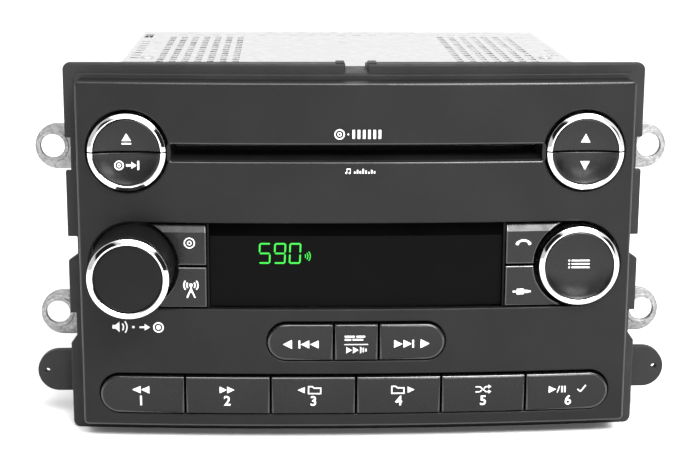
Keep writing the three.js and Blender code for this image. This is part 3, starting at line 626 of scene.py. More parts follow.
def studio():
    bm = bmesh.new()
    bmesh.ops.create_grid(bm, x_segments=8, y_segments=8, size=4)
    mesh = bpy.data.meshes.new("floor")
    bm.to_mesh(mesh)
    bm.free()
    mesh.materials.append(pale_floor())
    floor = bpy.data.objects.new("floor", mesh)
    bpy.context.scene.collection.objects.link(floor)
    soft_light("key_box", (0.28, -0.85, 1.0), (0, 0, 0.06), (1.3, 0.6), 24)
    soft_light("right_box", (0.32, -0.95, 0.96), (0, 0, 0.06), (0.32, 0.4), 10)
    soft_light("front_box", (0.45, -1.6, 0.45), (0, 0, 0.06), (0.5, 0.4), 6)
    sun = bpy.data.lights.new("even_light", "SUN")
    sun.energy = 1.3
    sun.angle = math.radians(70)
    lamp = bpy.data.objects.new("even_light", sun)
    lamp.rotation_euler = Euler((math.radians(8), 0, 0))
    bpy.context.scene.collection.objects.link(lamp)
    sky()
    bpy.context.scene.view_settings.view_transform = "Standard"


# ---------------------------------------------------------------- fascia
CONTROL_Z = middle("menu_ring").z
CONTROL_X = middle("menu_ring").x
CONTROL_R = 15.0
ROUND_X = middle("ring_up").x
ROUND_Z = (span("ring_up")[0].z + span("ring_down")[1].z) / 2
ROUND_R = 14.05
SLOT = {"x": 63.0, "z": 36.08, "height": 5.8, "corner": 1.0}
CROWN_STEP = 3.0
FASCIA_BEVEL = 0.6
ROW_HEADROOM = 0.95      # gap over a row of keys
DIVIDER = {"inner": 50.05, "outer": 50.75, "front": 1.4, "back": 6.5}


def hollow():
    """The inside edge of the fascia's side walls."""
    return centred_rect(FASCIA_X - WALL, FASCIA_Z - WALL, 0.5)


def row_opening(nodes):
    """The opening round a row of keys, with round ends."""
    spans = [span(node) for node in nodes]
    x0, x1 = min(lo.x for lo, _ in spans), max(hi.x for _, hi in spans)
    z0, z1 = min(lo.z for lo, _ in spans), max(hi.z for _, hi in spans)
    x0, x1, z0, z1 = x0 - RUNNING_GAP, x1 + RUNNING_GAP, z0 - RUNNING_GAP, z1 + ROW_HEADROOM
    return stadium((x0 + x1) / 2, (z0 + z1) / 2, x1 - x0, z1 - z0)


SEEK_KEYS = ("button_seek_down", "button_scan", "button_seek_up")
PRESET_KEYS = tuple(f"preset_{number}" for number in range(1, 7))


def fascia():
    half = SLOT["height"] / 2
    loops = [
        centred_rect(FASCIA_X, FASCIA_Z, 1.4),
        stadium(0, CONTROL_Z, 2 * (CONTROL_X + CONTROL_R), 2 * CONTROL_R),
        rounded_rect(-SLOT["x"], SLOT["x"], SLOT["z"] - half, SLOT["z"] + half, SLOT["corner"]),
        circle(-ROUND_X, ROUND_Z, ROUND_R, 96),
        circle(ROUND_X, ROUND_Z, ROUND_R, 96),
        row_opening(SEEK_KEYS),
        row_opening(PRESET_KEYS),
    ]
    bm = bmesh.new()
    plate(bm, loops, 0, WALL, FASCIA_BEVEL, polished=(0, 2))
    plate(bm, [loops[0], hollow()], WALL, FASCIA_DEPTH)
    shape(bm, CROWN_STEP)
    stand_in("front_fascia", bm, FASCIA_PLASTIC, "fascia_plastic", edge=FASCIA_EDGE)


def slot_funnel():
    """The black throat behind the slot, whose floor and ends slope in towards the disc path."""
    x, z, half, r = SLOT["x"], SLOT["z"], SLOT["height"] / 2, SLOT["corner"]
    wall = 0.5
    sections = [
        (x - 0.02, z - half + 0.02, z + half - 0.02, r, 0.9),
        (x + wall, z - half - wall, z + half + wall, r, WALL + 0.1),
        (x + wall, z - half - wall, z + half + wall, r, 8.0),
        (x - 2.2, z - 0.2, z + half - 0.9, r * 0.6, 8.0),
        (x - 0.25, z - half + 0.45, z + half - 0.3, r, 1.2),
    ]
    bm = bmesh.new()
    rings = []
    for reach, low, high, radius, y in sections:
        loop = rounded_rect(-reach, reach, low, high, radius)
        rings.append([bm.verts.new((px, y, pz)) for px, pz in loop])
    join_rings(bm, rings + rings[:1])
    shape(bm, CROWN_STEP)
    # The darker recess plastic here is partly painted shade inside the slot's throat.
    piece("slot_funnel", bm, RECESS_SHADED_PLASTIC, slot="fascia_plastic")


def display_divider():
    """The thin divider between the display and the keys beside it."""
    low, high = CONTROL_Z - CONTROL_R + 0.1, CONTROL_Z + CONTROL_R - 0.1
    bm = bmesh.new()
    for side in (-1, 1):
        near, far = mirrored(side, DIVIDER["inner"], DIVIDER["outer"])
        plate(bm, [rounded_rect(near, far, low, high, 0.2, 3)], DIVIDER["front"], DIVIDER["back"], 0.15)
    shape(bm, CROWN_STEP)
    # The darker recess plastic here is partly painted shade in the gap beside the display.
    piece("display_divider", bm, RECESS_SHADED_PLASTIC, slot="fascia_plastic")


# ---------------------------------------------------------------- mounting frame
FLANGE_FRONT = FASCIA_DEPTH + 0.3
FLANGE = {"x": 99.2, "z": 64.6, "corner": 2.4, "back": 18.5}
COLLAR = {"x": 94.6, "z": 63.1, "wall": 3.0, "back": 29.5, "ribs": (-50, -16, 10, 44)}
NOTCHES = ((-31, 8.2, 2.1, 3), (-1.8, 6.3, 3.3, 2.4), (27.5, 11.5, 1.9, 0))  # low end, height, depth, slope
TOP_NOTCH = {"half": 3.75, "depth": 2.8, "post": 3.0, "gap": 0.2, "rise": 0.5}
TAB = {"z": -47.1, "half": 7.5, "hole": 0.85, "inset": 3.4}


def flange_outline():
    """The flange's edge, with the notches in its sides and its top."""
    x, z, corner = FLANGE["x"], FLANGE["z"], FLANGE["corner"]
    small = 0.35
    right = []
    for low, height, depth, slope in NOTCHES:
        right += [(x, low - slope, small), (x - depth, low, small), (x - depth, low + height, small),
                  (x, low + height, small)]
    half, depth = TOP_NOTCH["half"], TOP_NOTCH["depth"]
    top = [(half, z, 0.2), (half, z - depth, 0.2), (-half, z - depth, 0.2), (-half, z, 0.2)]
    left = [(-px, pz, r) for px, pz, r in reversed(right)]
    corners = [(x, -z, corner), *right, (x, z, corner), *top, (-x, z, corner), *left, (-x, -z, corner)]
    return filleted(corners, 5)


def mounting_frame():
    bm = bmesh.new()
    plate(bm, [flange_outline(), hollow()], FLANGE_FRONT, FLANGE["back"], 0.7)
    shape(bm, CROWN_STEP, flat_from=FLANGE["back"] - 0.5)
    step = bmesh.new()
    ridge = centred_rect(FASCIA_X + 1.5, FASCIA_Z + 1.6, 2.0)
    plate(step, [ridge, hollow()], FLANGE_FRONT - 0.9, FLANGE_FRONT + 0.6, 0.35)
    shape(step, CROWN_STEP)
    stand_in("mounting_frame", join(bm, step, collar(), tabs(), posts()), FRAME_PLASTIC, "fascia_plastic")


def collar():
    """The deeper ring behind the flange, with short ribs on its sides."""
    x, z, wall = COLLAR["x"], COLLAR["z"], COLLAR["wall"]
    bm = bmesh.new()
    inside = centred_rect(x - wall, z - wall / 2, 0.8)
    half, floor = TOP_NOTCH["half"], FLANGE["z"] - TOP_NOTCH["depth"]
    edge = [(x, -z, 1.5), (x, z, 1.5), (half, z, 0), (half, floor, 0), (-half, floor, 0), (-half, z, 0),
            (-x, z, 1.5), (-x, -z, 1.5)]
    plate(bm, [filleted(edge), inside], FLANGE["back"], COLLAR["back"])
    for side in (-1, 1):
        for low in COLLAR["ribs"]:
            near, far = mirrored(side, x, x + 1.6)
            plate(bm, [rounded_rect(near, far, low, low + 1.8, 0.3, 3)], FLANGE["back"], COLLAR["back"] - 3)
    return bm


def tabs():
    """Round-ended mounting ears of the frame, each with a locating hole and a rib at its root."""
    tip, z, half = span("mounting_frame")[1].x, TAB["z"], TAB["half"]
    front, back = COLLAR["back"] - 3, COLLAR["back"]
    bm = bmesh.new()
    for side in (-1, 1):
        root = COLLAR["x"] - 1
        corners = [(root, z - half, 0), (tip, z - half, half), (tip, z + half, half), (root, z + half, 0)]
        outline = [(side * px, pz) for px, pz in filleted(corners, 14)]
        plate(bm, [outline, circle(side * (tip - TAB["inset"]), z, TAB["hole"], 20)], front, back, 0.5)
        near, far = mirrored(side, FLANGE["x"] - 0.6, FLANGE["x"] + 1.4)
        rib = rounded_rect(near, far, z - half + 1, z + half - 1, 0.5, 4)
        plate(bm, [rib], front - 2.2, front + 0.3, 0.4)
    return bm


def posts():
    """A post on each side of the top notch."""
    bm = bmesh.new()
    z, rise = FLANGE["z"], TOP_NOTCH["rise"]
    start = TOP_NOTCH["half"] + TOP_NOTCH["gap"]
    for side in (-1, 1):
        near, far = mirrored(side, start, start + TOP_NOTCH["post"])
        block(bm, (near, FLANGE_FRONT + 1.6, z - 3.4), (far, FLANGE["back"], z + rise), 0.3)
    return bm


# ---------------------------------------------------------------- round buttons, menu button and knob
RING_STEPS = 128
RING_SEAT = 0.15         # between a cap and the inside of its ring
SHOULDER = 0.3           # how far a cap's stem starts behind its ring
MENU_RING_WIDTH = 1.95
KNOB_RING_WIDTH = 2.1
DISH = 1.6               # how deep the finger dish of a round cap is
DISH_RIM = 0.4           # flat rim round the dish of a half button
KNOB_DOME = 0.5


def dished(radius, depth, power=3):
    """A finger dish: deepest in the middle, rising towards the rim."""
    return lambda r: depth * (1 - min(r / radius, 1) ** power)


def domed(radius, rise):
    """A gently domed face, highest in the middle."""
    return lambda r: rise * (r / radius) ** 2


def ring_profile(inner, outer, front, back):
    """A ring whose face leans outwards, with rounded edges."""
    corners = [(inner, back, 0), (outer, back, 0.1), (outer, front + 0.95, 0.35), (inner + 0.4, front, 0.35),
               (inner, front + 0.3, 0.15)]
    return filleted(corners, 6)


def ring_sizes(node):
    """The outer radius, front, back and middle x of a ring."""
    lo, hi = span(node)
    outer = (hi.x - lo.x) / 2
    return outer, lo.y, hi.y, (lo.x + hi.x) / 2


def half_button(name, up):
    """The upper (up 1) or lower (up -1) half of a round button, with its half of the ring."""
    cap, ring = f"button_{name}", f"ring_{name}"
    lo, hi = span(cap)
    radius = (hi.x - lo.x) / 2
    x = (lo.x + hi.x) / 2
    level = hi.z - radius if up > 0 else lo.z + radius
    near = lo.z if up > 0 else hi.z
    lift = math.degrees(math.asin(abs(near - level) / radius))
    outline = arc(x, level, radius, up * lift, up * (180 - lift), 48)
    bm = bmesh.new()
    plate(bm, [outline], 0, hi.y - lo.y, 0.45)
    dish = dished(radius - DISH_RIM, DISH)
    for axis in (0, 2):
        cut(bm, axis, 0.8)
    for vert in bm.verts:
        if vert.co.y < 1:
            vert.co.y += dish(math.hypot(vert.co.x - x, vert.co.z - level))
        vert.co.y += lo.y
    stand_in(cap, bm, KEY_PLASTIC, "key_plastic")
    outer, front, back, _ = ring_sizes(ring)
    bm = bmesh.new()
    lathe(bm, ring_profile(radius + RING_SEAT, outer, front, back), x, level, RING_STEPS)
    keep_side(bm, near, up)
    stand_in(ring, bm, CHROME, "chrome", even=False)


def turned_cap(radius, front, shoulder, outer, back, dish):
    """The profile of a round cap that stands on a wider stem."""
    steps = 12
    face = [(radius * 0.94 * i / steps, front + dish(radius * 0.94 * i / steps)) for i in range(steps + 1)]
    rim = front + dish(radius)
    edge = [(radius - 0.35, rim + 0.05), (radius - 0.1, rim + 0.2), (radius, rim + 0.5)]
    return face + edge + [(radius, shoulder), *outer, (0, back)]


MENU_RING_GROWTH = 0.35  # how much wider the menu ring is drawn than its solid


def menu_button():
    lo, hi = span("menu_button")
    outer, front, _, x = ring_sizes("menu_ring")
    outer += MENU_RING_GROWTH
    radius = outer - MENU_RING_WIDTH
    shoulder = span("menu_ring")[1].y + SHOULDER
    bm = bmesh.new()
    stem = [(outer, shoulder), (outer, hi.y)]
    lathe(bm, turned_cap(radius, lo.y, shoulder, stem, hi.y, dished(radius, DISH)), x, CONTROL_Z)
    stand_in("menu_button", bm, KEY_PLASTIC, "key_plastic", even=False)
    bm = bmesh.new()
    lathe(bm, ring_profile(radius + RING_SEAT, outer, front, shoulder - SHOULDER), x, CONTROL_Z, RING_STEPS)
    stand_in("menu_ring", bm, CHROME, "chrome", even=False)


def volume_knob():
    lo, hi = span("volume_knob")
    outer, front, ring_back, x = ring_sizes("volume_ring")
    radius = outer - KNOB_RING_WIDTH
    foot = (hi.x - lo.x) / 2
    shoulder = ring_back + SHOULDER
    flare = 10
    skirt = [(outer - 0.3, shoulder), (outer, shoulder + 0.3)]
    for i in range(1, flare + 1):
        t = i / flare
        skirt.append((outer + (foot - outer) * t ** 1.6, shoulder + (hi.y - shoulder - 0.6) * t))
    skirt += [(foot - 0.2, hi.y - 0.2), (foot - 0.5, hi.y)]
    bm = bmesh.new()
    lathe(bm, turned_cap(radius, lo.y, shoulder, skirt, hi.y, domed(radius, KNOB_DOME)), x, CONTROL_Z)
    stand_in("volume_knob", bm, KNOB_PLASTIC, "key_plastic", even=False)
    bm = bmesh.new()
    lathe(bm, ring_profile(radius + RING_SEAT, outer, front, ring_back), x, CONTROL_Z, RING_STEPS)
    stand_in("volume_ring", bm, CHROME, "chrome", even=False)


# ---------------------------------------------------------------- flat keys
KEY_BEVEL = 0.8
SIDE_KEY_BEVEL = 0.45
CHAMFER = 2.6            # height of the sloping top of the upper side keys
CHAMFER_SLOPE = 0.58


def key_front(node):
    """How far behind the crown a key's face lies."""
    lo, hi = span(node)
    return lo.y - least_crown(lo, hi)


def side_key(node, side, upper):
    lo, hi = span(node)
    clear = CONTROL_R + RUNNING_GAP
    inner = side * lo.x if side > 0 else -hi.x
    angles = [math.degrees(math.asin((z - CONTROL_Z) / clear)) for z in (lo.z, hi.z)]
    round_side = arc(CONTROL_X, CONTROL_Z, clear, 180 - angles[0], 180 - angles[1], 24)
    outline = [(inner, lo.z), *round_side, (inner, hi.z)]
    outline = [(side * x, z) for x, z in outline]
    top = hi.z - CHAMFER

    def relief(_, z):
        return max(0.0, z - top) * CHAMFER_SLOPE if upper else 0.0

    front = key_front(node)
    bm = bmesh.new()
    plate(bm, [outline], front, hi.y, SIDE_KEY_BEVEL)
    if upper:
        parts = bm.verts[:] + bm.edges[:] + bm.faces[:]
        bmesh.ops.bisect_plane(bm, geom=parts, dist=1e-4, plane_co=(0, 0, top), plane_no=(0, 0, 1))
    shape(bm, CROWN_STEP, flat_from=front + 0.5, relief=relief)
    stand_in(node, bm, KEY_PLASTIC, "key_plastic", sharp=20, edge=KEY_EDGE)


ROW_ROLL = 0.25          # how far the top and bottom of a row key lie behind its middle


def row_relief(node):
    """The gentle roll of a row key's face."""
    lo, hi = span(node)
    level, half = (lo.z + hi.z) / 2, (hi.z - lo.z) / 2
    return lambda _, z: ROW_ROLL * ((z - level) / half) ** 2


def row_key(node, first, last):
    lo, hi = span(node)
    half = (hi.z - lo.z) / 2
    left, right = half if first else 0.25, half if last else 0.25
    corners = [(lo.x, lo.z, left), (hi.x, lo.z, right), (hi.x, hi.z, right), (lo.x, hi.z, left)]
    outline = filleted(corners, 14)
    front = key_front(node)
    bm = bmesh.new()
    plate(bm, [outline], front, hi.y, KEY_BEVEL)
    shape(bm, CROWN_STEP, flat_from=front + 1, relief=row_relief(node), step_z=1.2)
    stand_in(node, bm, KEY_PLASTIC, "key_plastic", edge=KEY_EDGE)


def keys():
    for side, names in ((-1, ("button_disc", "button_band")), (1, ("button_phone", "button_aux"))):
        side_key(names[0], side, True)
        side_key(names[1], side, False)
    for row in (SEEK_KEYS, PRESET_KEYS):
        for number, node in enumerate(row):
            row_key(node, number == 0, number == len(row) - 1)


# ---------------------------------------------------------------- display
LENS_RECESS = 3.0
BAND_HEIGHT = 4.6        # of the painted shadow band along the top of the glass
DIGIT = {"first": -31.2, "pitch": 5.15, "z": 1.15, "width": 4.1, "height": 7.3, "stroke": 0.58, "gap": 0.28,
         "slant": 0.04}


def display_lens():
    lo, hi = span("display_lens")
    bm = bmesh.new()
    plate(bm, [rounded_rect(lo.x, hi.x, lo.z, hi.z, 0.6, 4)], LENS_RECESS, LENS_RECESS + 2, 0.2)
    shape(bm, CROWN_STEP)
    stand_in("display_lens", bm, LENS, "smoked_lens")


def display_mask():
    """A black sheet on the top of the display glass: painted shadow of the recess's upper edge."""
    lo, hi = span("display_lens")
    bm = bmesh.new()
    band = rounded_rect(lo.x + 0.1, hi.x - 0.1, hi.z - BAND_HEIGHT, hi.z - 0.1, 0.3, 4)
    plate(bm, [band], LENS_RECESS - 0.06, LENS_RECESS + 0.1)
    shape(bm, CROWN_STEP)
    piece("display_mask", bm, LIP_SHADOW_BLACK, slot="smoked_lens")


SEGMENTS = {"5": "afgcd", "9": "abcdfg", "0": "abcdef"}


def segment_loops(x, z, lit):
    """The lit bars of one seven-bar digit, with pointed ends and gaps between them."""
    gap, k = DIGIT["gap"], DIGIT["stroke"] / 2
    w, h = DIGIT["width"] / 2, DIGIT["height"] / 2
    level = {"a": h, "g": 0.0, "d": -h}
    upright = {"f": (-w, 1), "b": (w, 1), "e": (-w, -1), "c": (w, -1)}
    loops = []
    for letter in lit:
        if letter in level:
            cz, reach = level[letter], w - gap
            cz -= k if letter == "a" else (-k if letter == "d" else 0)
            points = [(-reach, cz), (-reach + k, cz - k), (reach - k, cz - k), (reach, cz),
                      (reach - k, cz + k), (-reach + k, cz + k)]
        else:
            cx, half = upright[letter]
            cx += k if cx < 0 else -k
            a, b = (gap, h - gap) if half > 0 else (-h + gap, -gap)
            points = [(cx, a), (cx + k, a + k), (cx + k, b - k), (cx, b), (cx - k, b - k), (cx - k, a + k)]
        loops.append([(x + px + DIGIT["slant"] * pz, z + pz) for px, pz in points])
    return loops


# ---------------------------------------------------------------- printed marks
PRINT_LIFT = 0.04
PRINT_SINK = 0.06


def marks(name, loops, node_or_body, front, material=PRINT, relief=None, flat=False):
    """Thin raised prints. Each item of loops is an outline, or a list of an outline and its holes."""
    bm = bmesh.new()
    for item in loops:
        outlines = item if isinstance(item[0], list) else [item]
        plate(bm, outlines, front - PRINT_LIFT, front + PRINT_SINK)
    if flat:
        for vert in bm.verts:
            vert.co.y += relief(vert.co.x, vert.co.z)
    else:
        shape(bm, 2.0, relief=relief)
    body = body_of(node_or_body) if node_or_body in frame["nodes"] else node_or_body
    piece(name, bm, material, body, even=False)


def moved(loops, x, z, scale=1.0):
    """Drawn marks scaled and put at a place."""
    def put(loop):
        return [(x + scale * px, z + scale * pz) for px, pz in loop]
    return [[put(loop) for loop in item] if isinstance(item[0], list) else put(item) for item in loops]


def pointer(x, z, width, height, way):
    """A triangle that points up, down, left or right."""
    w, h = width / 2, height / 2
    points = {"up": [(-w, -h), (w, -h), (0, h)], "down": [(-w, h), (0, -h), (w, h)],
              "right": [(-w, -h), (w, 0), (-w, h)], "left": [(w, -h), (w, h), (-w, 0)]}[way]
    return [(x + px, z + pz) for px, pz in points]


def bar(x, z, width, height):
    return rounded_rect(x - width / 2, x + width / 2, z - height / 2, z + height / 2, 0.08, 2)


def stroke(points, width):
    """A line of some width through points."""
    left, right = [], []
    for i, point in enumerate(points):
        ahead = Vector(points[min(i + 1, len(points) - 1)]) - Vector(points[max(i - 1, 0)])
        side = Vector((-ahead.y, ahead.x)).normalized() * width / 2
        left.append((point[0] + side.x, point[1] + side.y))
        right.append((point[0] - side.x, point[1] - side.y))
    return left + right[::-1]


def hoop(x, z, r, width):
    return [circle(x, z, r, 40), circle(x, z, r - width, 40)]


def disc_icon(x, z, r):
    return [hoop(x, z, r, 0.42), hoop(x, z, 0.42 * r, 0.36)]


def folder_icon(x, z, width, height):
    w, h = width / 2, height / 2
    edge = [(-w, -h), (w, -h), (w, h * 0.62), (-0.05 * w, h * 0.62), (-0.3 * w, h), (-w, h)]
    inner = offset(wound(edge, True), 0.4)
    return [[[(x + px, z + pz) for px, pz in loop] for loop in (edge, inner)]]


def digit_loops(text, x, z, height):
    """The outlines of one digit from the built-in typeface, centred on a place."""
    data = bpy.data.curves.new("digit", "FONT")
    data.body = text
    data.size = height / 0.70
    data.align_x, data.align_y = "CENTER", "CENTER"
    data.offset = 0.025 * height
    obj = bpy.data.objects.new("digit", data)
    bpy.context.scene.collection.objects.link(obj)
    mesh = bpy.data.meshes.new_from_object(obj)
    bm = bmesh.new()
    bm.from_mesh(mesh)
    bmesh.ops.remove_doubles(bm, verts=bm.verts[:], dist=1e-5)
    loops = outline_loops(bm)
    bm.free()
    bpy.data.objects.remove(obj)
    bpy.data.curves.remove(data)
    bpy.data.meshes.remove(mesh)
    placed = [[(x + px, z + pz) for px, pz in loop] for loop in loops]
    return [sorted(placed, key=lambda loop: -abs(area(loop)))]


def outline_loops(bm):
    """The closed boundary loops of a flat mesh."""
    left = dict.fromkeys(edge for edge in bm.edges if edge.is_boundary)
    loops = []
    while left:
        edge = left.popitem()[0]
        start, vert = edge.verts
        loop = [start]
        while vert != start:
            loop.append(vert)
            edge = next(other for other in vert.link_edges if other in left)
            del left[edge]
            vert = edge.other_vert(vert)
        loops.append([(v.co.x, v.co.y) for v in loop])
    return loops


def round_marks():
    """Eject, load and the up and down arrows on the round buttons."""
    radius = (span("button_eject")[1].x - span("button_eject")[0].x) / 2
    dish = dished(radius - DISH_RIM, DISH)
    front = span("button_eject")[0].y
    eject = [pointer(0, 41.4, 3.2, 2.6, "up"), bar(0, 39.2, 3.2, 0.5)]
    load = [*disc_icon(-2.6, 31.9, 1.6), bar(0.75, 31.9, 2.0, 0.7), pointer(2.35, 31.9, 1.7, 2.3, "right"),
            bar(3.8, 31.9, 0.65, 3.0)]
    drawn = (("mark_eject", eject, "button_eject", -1), ("mark_load", load, "button_load", -1),
             ("mark_up", [pointer(0, 40.9, 3.2, 3.0, "up")], "button_up", 1),
             ("mark_down", [pointer(0, 31.5, 3.2, 3.0, "down")], "button_down", 1))
    for name, loops, node, side in drawn:
        x = side * ROUND_X

        def relief(px, pz, x=x):
            return dish(math.hypot(px - x, pz - ROUND_Z))

        marks(name, moved(loops, x, 0), node, front, relief=relief, flat=True)
    front = span("menu_button")[0].y
    dish = dished(ring_sizes("menu_ring")[0] + MENU_RING_GROWTH - MENU_RING_WIDTH, DISH)
    rows = []
    for z in (1.2, 0.0, -1.2):
        rows += [circle(-3.3, z, 0.32, 16), bar(0.6, z, 6.2, 0.52)]
    marks("mark_menu", moved(rows, CONTROL_X, CONTROL_Z + 0.45), "menu_button", front, flat=True,
          relief=lambda px, pz: dish(math.hypot(px - CONTROL_X, pz - CONTROL_Z)))


def antenna_icon():
    mast = [stroke([(0, -1.2), (0, 1.2)], 0.5), circle(0, 1.5, 0.62, 20)]
    mast.append(stroke([(-1.35, -2.9), (0, 0.3)], 0.5))
    mast.append(stroke([(1.35, -2.9), (0, 0.3)], 0.5))
    for r in (1.4, 2.4):
        mast.append(stroke(arc(0, 1.5, r, -40, 40, 10), 0.48))
        mast.append(stroke(arc(0, 1.5, r, 140, 220, 10), 0.48))
    return mast


def handset_icon():
    """A telephone handset: an arched grip with an ear piece and a mouth piece."""
    grip = arc(0, -2.2, 3.35, 40, 140, 20) + arc(0, -2.2, 2.6, 140, 40, 20)
    end = ((1.35, 0.15, 0.3), (2.15, 0.55, 0.4), (2.85, -0.55, 0.3), (1.75, -1.0, 0.3))
    ends = [filleted([(side * x, z, r) for x, z, r in end], 4) for side in (-1, 1)]
    return [grip, *ends]


def plug_icon():
    return [bar(-0.6, 0, 2.4, 2.0), bar(1.3, 0, 1.5, 1.1), bar(2.6, 0, 1.0, 0.7), bar(-2.5, 0, 1.4, 0.6)]


def note_icon():
    stems = [bar(-0.3, 0.15, 0.22, 1.5), bar(0.9, 0.15, 0.22, 1.5), bar(0.3, 0.8, 1.4, 0.34)]
    return [*stems, circle(-0.55, -0.6, 0.36, 16), circle(0.65, -0.6, 0.36, 16)]


def shuffle_icon():
    lines = [stroke([(-2.7, 0.9), (-1.2, 0.9), (0.9, -0.9), (1.8, -0.9)], 0.38)]
    lines.append(stroke([(-2.7, -0.9), (-1.2, -0.9), (-0.45, -0.25)], 0.38))
    lines.append(stroke([(0.2, 0.3), (0.9, 0.9), (1.8, 0.9)], 0.38))
    return lines + [pointer(2.3, 0.9, 1.0, 1.4, "right"), pointer(2.3, -0.9, 1.0, 1.4, "right")]


def speaker_icon():
    horn = [(-2.2, -0.5), (-1.4, -0.5), (-0.4, -1.4), (-0.4, 1.4), (-1.4, 0.5), (-2.2, 0.5)]
    return [horn, stroke(arc(-0.9, 0, 1.5, -36, 36, 8), 0.36), stroke(arc(-0.9, 0, 2.4, -38, 38, 10), 0.36)]


def fascia_marks():
    disc = disc_icon(-6.3, 0, 1.75) + [circle(-3.4, 0, 0.3, 16)]
    disc += [bar(-1.6 + 1.75 * i, 0, 0.85, 3.0) for i in range(6)]
    marks("mark_disc_slot", moved(disc, 0.3, 42.6), "radio", 0)
    heights = (0.7, 1.3, 0.9, 1.6, 1.1, 0.6, 1.3, 0.8)
    levels = moved(note_icon(), -3.9, 0, 0.95)
    levels += [bar(-1.6 + 0.95 * i, -0.8 + h / 2, 0.5, h) for i, h in enumerate(heights)]
    marks("mark_music", moved(levels, 0.7, 30.1), "radio", 0)
    z = -24.4
    knob = moved(speaker_icon(), -80.4, z, 1.35)
    knob += [circle(-76.2, z, 0.45, 16), bar(-73.2, z, 1.8, 0.6), pointer(-71.4, z, 1.9, 2.3, "right")]
    knob += [hoop(-67.6, z, 1.85, 0.5), circle(-67.6, z, 0.8, 24)]
    marks("mark_volume", knob, "radio", 0)


def key_marks():
    """Pictograms on the side keys and the seek keys."""
    front = key_front("button_disc")
    drawn = {"disc": (disc_icon(0, 0, 1.9), -56.6, 5.2), "band": (antenna_icon(), -56.3, -11.0),
             "phone": (handset_icon(), 56.9, 4.9), "aux": (plug_icon(), 56.8, -12.3)}
    for name, (icon, x, z) in drawn.items():
        marks(f"mark_{name}", moved(icon, x, z), f"button_{name}", front)
    z = -30.0
    front = key_front("button_scan")
    relief = row_relief("button_scan")
    skip = [bar(-3.2, 0, 0.6, 2.8), pointer(-1.3, 0, 2.9, 2.8, "left"), pointer(1.9, 0, 2.9, 2.8, "left")]
    left = [pointer(-23.6, z, 3.1, 3.2, "left"), *moved(skip, -16.3, z)]
    right = [[(-x, pz) for x, pz in loop] for loop in left]
    marks("mark_seek_down", left, "button_seek_down", front, relief=relief)
    marks("mark_seek_up", right, "button_seek_up", front, relief=relief)
    words = ((-2.3, 1.0, 3.4), (1.5, 1.0, 3.0), (-2.9, -0.1, 2.2), (0.5, -0.1, 3.6))
    text = [bar(x, level, width, 0.6) for x, level, width in words]
    scan = [pointer(-2.5, 0, 1.9, 2.3, "right"), pointer(-0.2, 0, 1.9, 2.3, "right")]
    scan += [bar(1.5 + 0.9 * i, 0, 0.45, 2.2 - 0.6 * i) for i in range(3)]
    both = moved(text, 0, -28.3) + [bar(0, -30.1, 8.1, 0.3)] + moved(scan, 0, -32.1)
    marks("mark_scan", both, "button_scan", front, relief=relief)


def preset_marks():
    """Digits 1 to 6 and what each key does with a disc."""
    play = [pointer(-5.6, 0, 2.6, 2.5, "right"), stroke([(-3.9, -1.2), (-3.1, 1.2)], 0.34),
            bar(-2.2, 0, 0.55, 2.3), bar(-1.2, 0, 0.55, 2.3),
            stroke([(3.3, -0.1), (4.3, -1.1), (6.2, 1.2)], 0.5)]
    icons = (
        [pointer(-1.5, 0, 2.9, 2.6, "left"), pointer(1.5, 0, 2.9, 2.6, "left")],
        [pointer(-1.3, 0, 2.5, 2.4, "right"), pointer(1.3, 0, 2.5, 2.4, "right")],
        [pointer(-4.2, 0, 2.4, 2.2, "left"), *folder_icon(0.4, 0, 4.6, 2.9)],
        [pointer(4.2, 0, 2.4, 2.2, "right"), *folder_icon(-0.4, 0, 4.6, 2.9)],
        shuffle_icon(),
        play,
    )
    places = ((-74.1, -46.5, -50.6), (-44.4, -46.3, -50.4), (-14.7, -46.3, -50.4), (14.8, -46.4, -50.5),
              (44.1, -46.7, -50.9), (74.0, -47.4, -51.6))
    for number, (icon, (x, high, low)) in enumerate(zip(icons, places), 1):
        node = f"preset_{number}"
        loops = moved(icon, x, high) + digit_loops(str(number), x, low, 3.4)
        marks(f"mark_preset_{number}", loops, node, key_front(node), relief=row_relief(node))


def display_marks():
    loops = []
    for number, digit in enumerate("590"):
        loops += segment_loops(DIGIT["first"] + DIGIT["pitch"] * number, DIGIT["z"], SEGMENTS[digit])
    loops += moved([stroke(arc(0, 0, r, -40, 40, 8), 0.34) for r in (0.9, 1.7, 2.5)], -18.2, 0.2)
    marks("display_digits", loops, "radio", LENS_RECESS, GLOW)


# ---------------------------------------------------------------- case
SHEET = 0.8              # thickness of the cover
CASE = {"sheet": 1.0, "bottom": -60.0}
VENT = {"half_width": 1.3, "half_length": 1.85, "pitch": 6.6, "start": 3.4, "end": 150,
        "first": 42.8, "column": 4.78, "columns": 7}
REAR_ROWS = ((178.5, 0), (187.5, 3.4))  # depth and sideways shift of the rows of slots at the back
REAR_PITCH = 6.85
LOUVRE = {"start": 100, "end": 176, "pitch": 9.5, "half_length": 3.2, "half_height": 0.8,
          "lowest": -42, "rise": 11, "rows": 5}
FLOOR_VENT = {"x": 48, "column": 12, "start": 70, "end": 150, "pitch": 8, "half_width": 4, "half_length": 1}
DISC_MOUTH = (-64, 64, 30.3, 41.9)      # the opening in the case's front wall
FOOT = {"radius": 7, "inset": 20, "from_end": 25}
RIB = {"levels": (-52, 8), "half": 1.2, "start": 104, "end": 184}
SCREW_HEAD = 1.1         # thickness of a cover screw's head
SCREW_RECESS = 0.35
SHANK = 1.4              # radius of a cover screw below its head
EAR = {"levels": (32.3, -28.6), "radius": 8.05, "hole": 4.25, "inset": 6.1, "thick": 2}


def spaced(start, end, pitch):
    """Places from start to end, a pitch apart."""
    return [start + pitch * i for i in range(int((end - start) / pitch) + 1)]


def grid_lines(lo, hi, slots, axis):
    """All the lines that a sheet needs along one axis for its slots."""
    lines = {round(lo, 4), round(hi, 4)}
    for slot in slots:
        lines.update(round(value, 4) for value in slot[2 * axis:2 * axis + 2])
    return sorted(lines)


